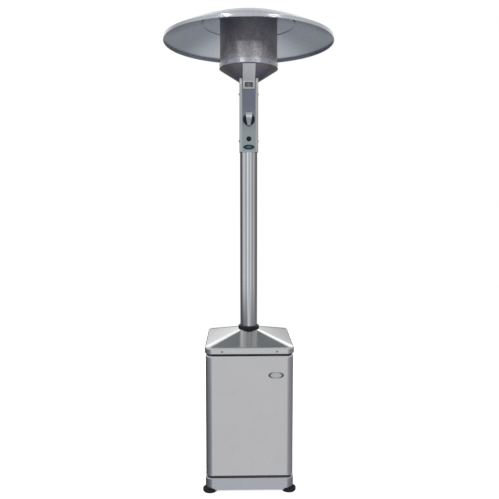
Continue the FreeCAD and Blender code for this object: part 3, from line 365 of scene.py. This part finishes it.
M["housing"] = brushed("housing_satin_steel", (0.50, 0.515, 0.525, 1), rough=0.28, grain="z", aniso=0.3, contrast=0.08, blotch=0.05, smudge=0.06)
M["pilot"] = brushed("pilot_cover_satin_steel", (0.36, 0.37, 0.39, 1), rough=0.36, grain="z", aniso=0.0, contrast=0.10, blotch=0.08, smudge=0.1,
                     metallic=0.35)
M["panel"] = brushed("panel_dull_steel", (0.33, 0.35, 0.385, 1), rough=0.32, grain="x", aniso=0.0, contrast=0.08, blotch=0.07, smudge=0.08,
                     height_tone_and_painted_highlight=(1.80, 1.95, (0.36, 0.405, 0.42, 1), (0.215, 0.225, 0.285, 1)))
M["band"] = brushed("band_satin_steel", (0.42, 0.44, 0.48, 1), rough=0.3, grain="ring", aniso=0.3, contrast=0.10, blotch=0.08, smudge=0.08)
M["strike"] = brushed("strike_plain_steel", (0.5, 0.5, 0.5, 1), rough=0.3, grain="z", aniso=0.0)
M["reflector"] = brushed("reflector_spun_aluminium", (0.575, 0.60, 0.645, 1), rough=0.27, grain="ring", aniso=0.55, fine=520.0, contrast=0.03,
                         blotch=0.02, smudge=0.03, depth=0.000008)
M["deflector"] = brushed("deflector_spun_aluminium", (0.60, 0.63, 0.69, 1), rough=0.25, grain="ring", aniso=0.55, fine=480.0, contrast=0.03,
                         blotch=0.02, smudge=0.03, depth=0.000008)
M["galv"] = galvanised("galvanised_steel")
M["zinc"] = turned("zinc_plated_steel", (0.52, 0.52, 0.52, 1), rough=0.3, tarnish=(0.33, 0.31, 0.27, 1), amount=0.3)
M["screw"] = turned("screw_dark_steel", (0.30, 0.30, 0.31, 1), rough=0.35, tarnish=(0.16, 0.15, 0.14, 1), amount=0.3)
M["brass"] = turned("turned_brass", (0.70, 0.53, 0.25, 1), rough=0.26)
M["copper"] = turned("copper_tube", (0.62, 0.36, 0.22, 1), rough=0.3, tarnish=(0.22, 0.13, 0.09, 1))
# floor_pan and top_frame are near black: partly a dark painted inner frame, partly painted shade so that the gaps
# under the top cover and above the plinth read dark
M["frame_paint"] = painted("dark_paint_inner_frame_and_gap_shade", (0.035, 0.035, 0.038, 1), rough=0.5, coat=0.0, dust=0.2)
M["tank"] = painted("tank_grey_paint", (0.50, 0.51, 0.50, 1), rough=0.33, peel=240, depth=0.00006, dust=0.2, coat=0.3)
M["regulator"] = painted("regulator_grey_paint", (0.26, 0.27, 0.29, 1), rough=0.45, peel=500, depth=0.00005, metallic=0.3, coat=0.1)
M["black"] = plastic("black_satin_plastic", (0.008, 0.0085, 0.011, 1), rough=0.34, sheen_dust=0.03, specular=0.22)
M["handwheel"] = plastic("handwheel_black_plastic", (0.028, 0.028, 0.03, 1), rough=0.45)
M["collar"] = plastic("collar_black_plastic", (0.009, 0.009, 0.012, 1), rough=0.4, sheen_dust=0.03, specular=0.25)
M["ceramic"] = plastic("igniter_ivory_plastic", (0.62, 0.58, 0.48, 1), rough=0.3, grain=500)
M["feet"] = rubber("feet_black_rubber", scuff_z=0.017)
M["hose"] = rubber("hose_black_rubber", (0.028, 0.028, 0.03, 1), rough=0.5)
M["sleeve"] = rubber("lead_red_silicone", (0.42, 0.07, 0.045, 1), rough=0.42)
# knob grip: the base colour turns light above z 1.875-1.885, a painted highlight on the grip's upper part, not a
# reflection
M["grip"] = brushed("grip_satin_chrome_painted_highlight", (0.62, 0.64, 0.68, 1), rough=0.17, grain="z", aniso=0.0, fine=900, contrast=0.05, blotch=0.02, smudge=0.05,
                    height_tone_and_painted_highlight=(1.875, 1.885, (0.40, 0.42, 0.475, 1), (0.90, 0.92, 0.96, 1)))
M["cone"] = heated("cone_heat_tinted_steel", (0.165, 0.162, 0.178, 1),
                   [(0.0, (0.62, 0.60, 0.66, 1)), (0.35, (0.80, 0.78, 0.90, 1)), (0.7, (1.0, 0.95, 0.96, 1)), (1.0, (1.2, 1.12, 1.05, 1))], 2.081, 2.145, 0.34)
M["burner"] = heated("burner_heat_tinted_steel", (0.36, 0.32, 0.29, 1),
                     [(0.0, (1.0, 1.0, 1.05, 1)), (0.4, (0.9, 0.8, 0.75, 1)), (0.7, (0.7, 0.62, 0.75, 1)), (1.0, (0.55, 0.6, 0.8, 1))], 2.09, 2.19, 0.4)
M["emitter"] = heated("emitter_oxidised_mesh", (0.345, 0.335, 0.345, 1),
                      [(0.0, (1.20, 1.17, 1.2, 1)), (0.25, (0.92, 0.90, 0.93, 1)), (0.6, (0.78, 0.77, 0.80, 1)), (1.0, (0.72, 0.72, 0.78, 1))],
                      2.171, 2.388, 0.42, mottle=0.9)
M["window"] = painted("window_dark_mesh", (0.055, 0.06, 0.06, 1), rough=0.5, coat=0.0, dust=0.0)
# door badge: the dark crescents at the ends of its rim are painted shade
M["door_badge"] = badge("badge_rim_and_field", "door_badge", (0.13, 0.135, 0.15, 1), (0.57, 0.575, 0.59, 1), (0.60, 0.605, 0.62, 1), True)
M["housing_badge"] = badge("small_badge_rim_and_field", "housing_badge", (0.02, 0.042, 0.055, 1), (0.05, 0.09, 0.105, 1), (0.13, 0.19, 0.20, 1), False)
M["mark"] = painted("panel_mark_ink", (0.03, 0.035, 0.04, 1), rough=0.5, coat=0.0, dust=0.0)

ASSIGN = {
    "corner_feet": "feet", "base_plinth": "plinth", "floor_pan": "frame_paint", "frame_posts": "galv", "top_frame": "frame_paint",
    "pole_support_plate": "galv", "cabinet_shell": "shell", "door_panel": "door", "door_catch": "black", "catch_strike": "strike",
    "door_badge": "door_badge", "gas_cylinder": "tank", "cylinder_valve": "brass", "regulator_nut": "black", "regulator": "regulator",
    "gas_hose": "hose", "hose_fittings": "brass", "top_cover": "cover", "pole_flange": "galv", "flange_bolts": "zinc", "pole": "pole",
    "pole_collar": "collar", "control_housing": "housing", "control_panel": "panel", "knob_bezel": "black", "gas_valve": "brass",
    "valve_bracket": "galv", "valve_stem": "zinc", "thrust_washer": "zinc", "stem_spring": "zinc", "control_knob": "black",
    "knob_grip": "grip", "igniter_bezel": "black", "igniter_body": "ceramic", "igniter_button": "black", "igniter_spring": "zinc",
    "housing_badge": "housing_badge", "burner_mount": "galv", "thermocouple_lead": "copper", "ignition_lead": "sleeve",
    "burner_cone": "cone", "emitter_band": "band", "emitter_screen": "emitter", "venturi_tube": "burner", "burner_plate": "burner",
    "pilot_burner": "burner", "emitter_top_plate": "burner", "pilot_cover": "pilot", "pilot_window": "window",
    "reflector_dome": "reflector", "heat_deflector": "deflector", "foot_fasteners": "zinc", "cylinder_strap": "galv",
    "valve_handwheel": "handwheel", "hinge_pins": "zinc", "fixing_screws": "screw", "reflector_fasteners": "zinc",
    "cylinder_rings": "tank", "door_reinforcement": "galv", "burner_supply": "brass",
}
for name, o in NODES.items():
    o.data.materials.clear()
    o.data.materials.append(M[ASSIGN[name]])


# ------------------------------------------------------------------ mesh helpers
def mesh_object(name, verts, faces, material, smooth=False, sharp_deg=None):
    me = bpy.data.meshes.new(name)
    me.from_pydata(verts, [], faces)
    me.validate()
    bm = bmesh.new()
    bm.from_mesh(me)
    bmesh.ops.recalc_face_normals(bm, faces=bm.faces)
    bm.to_mesh(me)
    bm.free()
    o = bpy.data.objects.new(name, me)
    sc.collection.objects.link(o)
    me.materials.append(material)
    if smooth:
        for p in me.polygons:
            p.use_smooth = True
        if sharp_deg is not None:
            me.set_sharp_from_angle(angle=math.radians(sharp_deg))
    return o


def perforated_tube(name, radius, thick, z0, z1, zp0, zp1, columns, hole, material, sides=6):
    """Sheet tube with staggered round holes between zp0 and zp1, open in its whole thickness."""
    pitch = 2 * math.pi * radius / columns
    rows = max(2, int(round((zp1 - zp0) / (pitch * 0.866))))
    rows += rows % 2
    rh = (zp1 - zp0) / rows
    verts, index, faces = [], {}, []

    def v(u, z, layer):
        """u in half columns of arc, layer 0 outer, 1 inner."""
        key = (round(u * 1000) % (columns * 2000), round(z * 1e7), layer)
        if key not in index:
            a = math.pi * u / columns
            r = radius - (thick if layer else 0.0)
            index[key] = len(verts)
            verts.append((r * math.cos(a), r * math.sin(a), z))
        return index[key]

    half = pitch / 2.0
    for j in range(rows):
        za, zb = zp0 + j * rh, zp0 + (j + 1) * rh
        zc = (za + zb) / 2
        for i in range(columns):
            uc = 2 * i + (j % 2)
            ring_o = [(uc + 1, za), (uc + 1, zb), (uc, zb), (uc - 1, zb), (uc - 1, za), (uc, za)]
            ring_i = []
            for k in range(6):
                a = math.radians((-30, 30, 90, 150, 210, 270)[k])
                ring_i.append((uc + hole * math.cos(a) / half, zc + hole * math.sin(a)))
            for k in range(6):
                n = (k + 1) % 6
                for layer in (0, 1):
                    f = [v(*ring_o[k], layer), v(*ring_o[n], layer), v(*ring_i[n], layer), v(*ring_i[k], layer)]
                    faces.append(f if layer == 0 else f[::-1])
                faces.append([v(*ring_i[k], 0), v(*ring_i[n], 0), v(*ring_i[n], 1), v(*ring_i[k], 1)])
    us = list(range(0, 2 * columns))
    for za, zb in ((z0, zp0), (zp1, z1)):
        for u in us:
            faces.append([v(u, za, 0), v(u + 1, za, 0), v(u + 1, zb, 0), v(u, zb, 0)])
            faces.append([v(u, za, 1), v(u, zb, 1), v(u + 1, zb, 1), v(u + 1, za, 1)])
    for z in (z0, z1):
        for u in us:
            faces.append([v(u, z, 0), v(u + 1, z, 0), v(u + 1, z, 1), v(u, z, 1)])
    return mesh_object(name, verts, faces, material, smooth=True, sharp_deg=30)


def grid_plate(name, xs, zs, solid, y0, y1, material, bend=None):
    """Flat plate in the XZ plane between y0 and y1 with the cells where solid(i, j) is false left open."""
    verts, index, faces = [], {}, []

    def v(i, j, k):
        key = (i, j, k)
        if key not in index:
            index[key] = len(verts)
            verts.append((xs[i], (y0, y1)[k], zs[j]))
        return index[key]

    nx, nz = len(xs) - 1, len(zs) - 1

    def on(i, j):
        return 0 <= i < nx and 0 <= j < nz and solid(i, j)
    for i in range(nx):
        for j in range(nz):
            if not on(i, j):
                continue
            faces.append([v(i, j, 0), v(i + 1, j, 0), v(i + 1, j + 1, 0), v(i, j + 1, 0)])
            faces.append([v(i, j, 1), v(i, j + 1, 1), v(i + 1, j + 1, 1), v(i + 1, j, 1)])
            for (a, b), (p, q) in (((-1, 0), ((i, j), (i, j + 1))), ((1, 0), ((i + 1, j), (i + 1, j + 1))),
                                   ((0, -1), ((i, j), (i + 1, j))), ((0, 1), ((i, j + 1), (i + 1, j + 1)))):
                if not on(i + a, j + b):
                    faces.append([v(*p, 0), v(*q, 0), v(*q, 1), v(*p, 1)])
    return mesh_object(name, verts, faces, material)


def lathe(name, profile, centre, segments, material, smooth=True, sharp_deg=35, axis="z"):
    """Closed (r, h) profile turned about an axis through centre; points with r = 0 become poles."""
    verts, faces, rings = [], [], []
    for r, h in profile:
        ring = []
        n = 1 if r < 1e-9 else segments
        for k in range(n):
            a = 2 * math.pi * k / segments
            p = (r * math.cos(a), r * math.sin(a), h)
            if axis == "y":
                p = (p[0], p[2], p[1])
            elif axis == "x":
                p = (p[2], p[0], p[1])
            ring.append(len(verts))
            verts.append((centre[0] + p[0], centre[1] + p[1], centre[2] + p[2]))
        rings.append(ring)
    for a, b in zip(rings, rings[1:] + rings[:1]):
        if len(a) == 1 and len(b) == 1:
            continue
        for k in range(segments):
            n = (k + 1) % segments
            if len(a) == 1:
                faces.append([a[0], b[k], b[n]])
            elif len(b) == 1:
                faces.append([a[k], b[0], a[n]])
            else:
                faces.append([a[k], b[k], b[n], a[n]])
    return mesh_object(name, verts, faces, material, smooth, sharp_deg)


def tube_along(name, points, radius_at, segments, material, caps=True):
    """Round tube whose radius may change along its line; the section is carried without twist."""
    verts, faces, rings = [], [], []
    t = []
    for i, p in enumerate(points):
        a, b = points[max(0, i - 1)], points[min(len(points) - 1, i + 1)]
        t.append((b - a).normalized())
    n = t[0].orthogonal().normalized()
    s = 0.0
    for i, p in enumerate(points):
        if i:
            s += (points[i] - points[i - 1]).length
            n = (n - t[i] * n.dot(t[i])).normalized()
        b = t[i].cross(n)
        r = radius_at(s)
        ring = []
        for k in range(segments):
            a = 2 * math.pi * k / segments
            q = p + (n * math.cos(a) + b * math.sin(a)) * r
            ring.append(len(verts))
            verts.append(tuple(q))
        rings.append(ring)
    for a, b in zip(rings, rings[1:]):
        for k in range(segments):
            m = (k + 1) % segments
            faces.append([a[k], a[m], b[m], b[k]])
    if caps:
        faces.append(rings[0][::-1])
        faces.append(rings[-1])
    return mesh_object(name, verts, faces, material, smooth=True, sharp_deg=50)


# ------------------------------------------------------------------ detailed pieces
lo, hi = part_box("emitter_screen")
screen = perforated_tube("emitter_perforated_screen", hi.x, 0.0012, lo.z, hi.z, lo.z + 0.024, hi.z - 0.014, 124, 0.0017, M["emitter"])
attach(screen, "frame")
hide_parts("emitter_screen")

lo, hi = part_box("pilot_window")
xs, zs = [lo.x], [lo.z]
for i in range(8):
    c = -0.0175 + 0.005 * i
    xs += [c - 0.0014, c + 0.0014]
xs.append(hi.x)
for j in range(3):
    c = (lo.z + hi.z) / 2 + (j - 1) * 0.0078
    zs += [c - 0.0031, c + 0.0031]
zs.append(hi.z)
grille = grid_plate("pilot_window_grille", xs, zs, lambda i, j: not (i % 2 == 1 and j % 2 == 1), lo.y, hi.y, M["window"])
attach(grille, "frame")
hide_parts("pilot_window")

# gas hose: held at both ends, from the regulator up through the pole to the gas valve
HOSE = [(0.050, -0.074, 0.481), (0.092, -0.074, 0.481), (0.128, -0.052, 0.495), (0.136, -0.028, 0.543), (0.112, -0.014, 0.595), (0.060, 0.0, 0.633),
        (0.014, 0.004, 0.673), (0.0, 0.008, 0.733), (0.0, 0.008, 1.640), (0.0, 0.015, 1.700), (0.0, 0.017, 1.748), (0.0, 0.002, 1.804), (0.0, 0.002, 1.832)]
cu = bpy.data.curves.new("hose_line", "CURVE")
cu.dimensions = "3D"
cu.resolution_u = 48
sp = cu.splines.new("NURBS")
sp.points.add(len(HOSE) - 1)
for p, q in zip(sp.points, HOSE):
    p.co = (q[0], q[1], q[2] + DZ, 1.0)
sp.order_u = 3
sp.use_endpoint_u = True
line = bpy.data.objects.new("hose_line", cu)
sc.collection.objects.link(line)
bpy.context.view_layer.update()
me = bpy.data.meshes.new_from_object(line)
raw = [v.co.copy() for v in me.vertices]
bpy.data.meshes.remove(me)
bpy.data.objects.remove(line)
pts, step = [raw[0]], 0.0016
carry = 0.0
for a, b in zip(raw, raw[1:]):
    d = (b - a).length
    if d < 1e-9:
        continue
    s = step - carry
    while s <= d:
        pts.append(a.lerp(b, s / d))
        s += step
    carry = d - (s - step)
pts.append(raw[-1])
hose = tube_along("gas_hose_ribbed", pts, lambda s: 0.00585 + 0.00014 * math.cos(2 * math.pi * s / 0.0064), 14, M["hose"])
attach(hose, "frame")
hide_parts("gas_hose")

# weld bead where the two halves of the gas cylinder meet
lo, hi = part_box("gas_cylinder")
cx, cy = (lo.x + hi.x) / 2, (lo.y + hi.y) / 2
rad = (hi.x - lo.x) / 2
verts, faces, rings = [], [], []
seg = 360
for k in range(seg):
    a = 2 * math.pi * k / seg
    wob = 0.00018 * math.sin(a * 90) + 0.00012 * math.sin(a * 41 + 1.0)
    ring = []
    for i in range(7):
        t = math.pi * i / 6
        r = rad - 0.0004 + (0.0015 + wob) * math.sin(t)
        z = 0.262 + DZ + (0.0042 + wob) * -math.cos(t)
        ring.append(len(verts))
        verts.append((cx + r * math.cos(a), cy + r * math.sin(a), z))
    rings.append(ring)
for k in range(seg):
    a, b = rings[k], rings[(k + 1) % seg]
    for i in range(7):
        n = (i + 1) % 7
        faces.append([a[i], b[i], b[n], a[n]])
bead = mesh_object("cylinder_weld_bead", verts, faces, M["tank"], smooth=True, sharp_deg=60)
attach(bead, "frame")

# printed index marks round the knob: a pointer triangle above it and short ticks
lo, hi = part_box("control_panel")
front = lo.y
KZ = 1.887 + DZ
verts, faces = [], []


def prism(poly, y0, y1):
    n = len(poly)
    base = len(verts)
    for y in (y0, y1):
        for x, z in poly:
            verts.append((x, y, z))
    faces.append([base + i for i in range(n)])
    faces.append([base + n + i for i in range(n)][::-1])
    for i in range(n):
        j = (i + 1) % n
        faces.append([base + i, base + j, base + n + j, base + n + i])


prism([(-0.0030, KZ + 0.0405), (0.0030, KZ + 0.0405), (0.0, KZ + 0.0355)], front - 0.00015, front + 0.0002)
for deg in (-60, -30, 30, 60, 90, 120, 150, 180, -90, -120, -150):
    if abs(deg) in (90,):
        continue
    a = math.radians(deg)
    u, w = math.sin(a), math.cos(a)
    px, pz = w * 0.0004, -u * 0.0004
    r0, r1 = 0.0322, 0.0350
    if abs(r1 * u) > 0.040:
        continue
    prism([(r0 * u - px, KZ + r0 * w - pz), (r0 * u + px, KZ + r0 * w + pz), (r1 * u + px, KZ + r1 * w + pz), (r1 * u - px, KZ + r1 * w - pz)],
          front - 0.00015, front + 0.0002)
marks = mesh_object("panel_index_marks", verts, faces, M["mark"])
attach(marks, "frame")

# ------------------------------------------------------------------ stage, light and camera
me = bpy.data.meshes.new("studio_floor")
R, n = 3.4, 96
verts = [(0, 0, 0)] + [(R * math.cos(2 * math.pi * k / n), R * math.sin(2 * math.pi * k / n), 0) for k in range(n)]
me.from_pydata(verts, [], [(0, 1 + k, 1 + (k + 1) % n) for k in range(n)])
floor = bpy.data.objects.new("studio_floor", me)
floor.location = (0, 0, -0.0003)
sc.collection.objects.link(floor)
fm = Mat("studio_floor_white", rough=0.9, specular=0.0)
fm.color(fm.ramp(fm.noise(fm.scaled(3, 3, 3), 1.0, 2.0), [(0.0, (0.93, 0.93, 0.93, 1)), (1.0, (0.95, 0.95, 0.95, 1))]))
fm.b.inputs["Emission Color"].default_value = (1, 1, 1, 1)
fm.b.inputs["Emission Strength"].default_value = 0.62
me.materials.append(fm.m)
floor.visible_glossy = False

world = bpy.data.worlds.new("studio")
sc.world = world
world.use_nodes = True
w = Tree(world.node_tree)
for n_ in list(w.t.nodes):
    w.t.nodes.remove(n_)
out = w.new("ShaderNodeOutputWorld")
D = w.new("ShaderNodeTexCoord").outputs["Generated"]
x, y, z = w.sep(D)
az = w.math("ARCTAN2", x, w.math("MULTIPLY", y, -1.0))          # 0 in front (-Y), + to the right
azn = w.math("MULTIPLY_ADD", az, 1 / (2 * math.pi), 0.5)
el = w.math("MULTIPLY", w.math("ARCSINE", z), 180 / math.pi)


def band(stops):
    return w.ramp(azn, [((a + 180) / 360.0, c) for a, c in stops])


def tint(v, r=1.0, g=1.0, b=1.0):
    return (v * r, v * g, v * b, 1.0)


LOW = band([(-180, tint(.36, .95, .98, 1.05)), (-152, tint(.34, .95, .98, 1.05)), (-128, .10), (-117, tint(.095, .95, .98, 1.1)), (-89, tint(.13, .95, 1, 1.1)),
            (-68, tint(.19, .95, 1, 1.12)), (-48, tint(.25, .93, 1, 1.12)), (-30, tint(.28, .93, 1, 1.12)), (-17, tint(.33, .95, 1, 1.1)),
            (-9, tint(.745, .97, 1, 1.05)), (-4, .755), (4, .755), (10, tint(.76, .98, 1, 1.04)), (17, tint(.52, .97, 1, 1.06)),
            (26, tint(.39, .97, .98, 1.08)), (45, tint(.33, .97, .98, 1.08)), (78, tint(.28, .97, .98, 1.07)), (105, tint(.25, .97, .98, 1.06)),
            (130, .20), (152, tint(.34, .95, .98, 1.05)), (180, tint(.36, .95, .98, 1.05))])
MID = band([(-180, .30), (-150, .12), (-122, tint(.10, .94, .98, 1.12)), (-104, tint(.16, .95, .99, 1.10)), (-86, tint(.60, .97, .99, 1.05)),
            (-66, tint(.82, .98, .98, 1.04)), (-52, tint(.80, .97, .98, 1.04)), (-41, tint(.40, .92, .98, 1.10)), (-34, tint(.38, .92, .98, 1.10)),
            (-26, tint(.84, .97, 1.0, 1.02)), (-12, tint(1.12, .97, 1.01, 1.01)), (-3, tint(.62, .96, 1, 1.02)), (14, tint(.62, .96, 1.01, 1.02)),
            (27, tint(.92, .98, 1, 1.02)), (38, tint(.50, .98, 1, 1.02)), (54, tint(.38, 1.0, .99, 1.02)), (68, tint(.70, 1, .98, 1.02)),
            (84, tint(.44, 1.02, .98, 1.0)), (100, tint(.22, 1.01, .99, 1.01)), (126, tint(.17, 1.01, .99, 1.01)), (150, .16), (180, .30)])
RISE = band([(-180, 1.25), (-165, 1.5), (-140, 1.0), (-110, .6), (-70, .75), (0, .82), (70, .78), (110, .75), (140, 1.05), (165, 1.5), (180, 1.25)])
HIGH = band([(-180, tint(.225, .95, 1.02, 1.05)), (-166, tint(.36, .95, 1.02, 1.05)), (-158, tint(.40, .95, 1.02, 1.04)), (-140, .9), (-112, 1.0), (-74, .70), (-40, .60), (-6, .38), (14, .60),
             (42, .33), (74, .68), (112, .42), (132, .8), (150, .8), (164, tint(.26, .95, 1.02, 1.08)), (180, tint(.20, .93, 1.02, 1.05))])
DOWN = band([(-180, tint(.86, .98, 1, 1.02)), (-140, tint(.75, .98, 1, 1.02)), (-90, tint(.26, .95, .95, 1.1)), (-40, .8), (0, .86), (40, .8),
             (90, tint(.72, 1, .97, .99)), (140, tint(.80, .98, 1, 1.02)), (180, tint(.86, .98, 1, 1.02))])
c = w.mix(w.remap(el, -62, -36, smooth=True), DOWN, LOW)
c = w.mix(w.remap(el, -13, -8, smooth=True), c, MID)
c = w.mix(w.remap(el, 7, 13, smooth=True), c, RISE)
c = w.mix(w.remap(el, 32, 42, smooth=True), c, HIGH)
c = w.mix(w.remap(el, 62, 84, smooth=True), c, (1.15, 1.16, 1.18, 1))
lp = w.new("ShaderNodeLightPath")
gloss = w.new("ShaderNodeBackground")
w.put(gloss.inputs["Color"], c)
gloss.inputs["Strength"].default_value = 1.0
soft = w.new("ShaderNodeBackground")
soft.inputs["Color"].default_value = (1, 1, 1, 1)
soft.inputs["Strength"].default_value = 1.14
white = w.new("ShaderNodeBackground")
white.inputs["Color"].default_value = (1, 1, 1, 1)
white.inputs["Strength"].default_value = 1.0
m1 = w.new("ShaderNodeMixShader")
w.put(m1.inputs[0], lp.outputs["Is Glossy Ray"])
w.put(m1.inputs[1], soft.outputs[0])
w.put(m1.inputs[2], gloss.outputs[0])
m2 = w.new("ShaderNodeMixShader")
w.put(m2.inputs[0], lp.outputs["Is Camera Ray"])
w.put(m2.inputs[1], m1.outputs[0])
w.put(m2.inputs[2], white.outputs[0])
w.put(out.inputs["Surface"], m2.outputs[0])


def spot(name, loc, target, angle, power, radius=0.12, color=(1, 1, 1)):
    d = bpy.data.lights.new(name, "SPOT")
    d.spot_size = math.radians(angle)
    d.spot_blend = 1.0
    d.shadow_soft_size = radius
    d.energy = power
    d.color = color
    o = bpy.data.objects.new(name, d)
    o.location = loc
    o.rotation_mode = "QUATERNION"
    o.rotation_quaternion = (Vector(target) - Vector(loc)).to_track_quat("-Z", "Y")
    sc.collection.objects.link(o)
    return o


spot("glint_left", (-1.45, -2.75, 2.46 + DZ), (-0.036, -0.14, 2.190 + DZ), 1.15, 1300)
spot("glint_right", (1.45, -2.75, 2.46 + DZ), (0.036, -0.14, 2.190 + DZ), 1.15, 1300)

cam = bpy.data.cameras.new("camera")
cam.sensor_fit = "AUTO"
cam.sensor_width = 36.0
cam.lens = 40.585
cam.clip_start, cam.clip_end = 0.05, 60.0
co = bpy.data.objects.new("camera", cam)
co.location = (-0.0590, -2.9492, 1.4750 + DZ)
co.rotation_mode = "QUATERNION"
co.rotation_quaternion = Vector((0.0214, 0.9961, -0.0861)).to_track_quat("-Z", "Y")
sc.collection.objects.link(co)
sc.camera = co
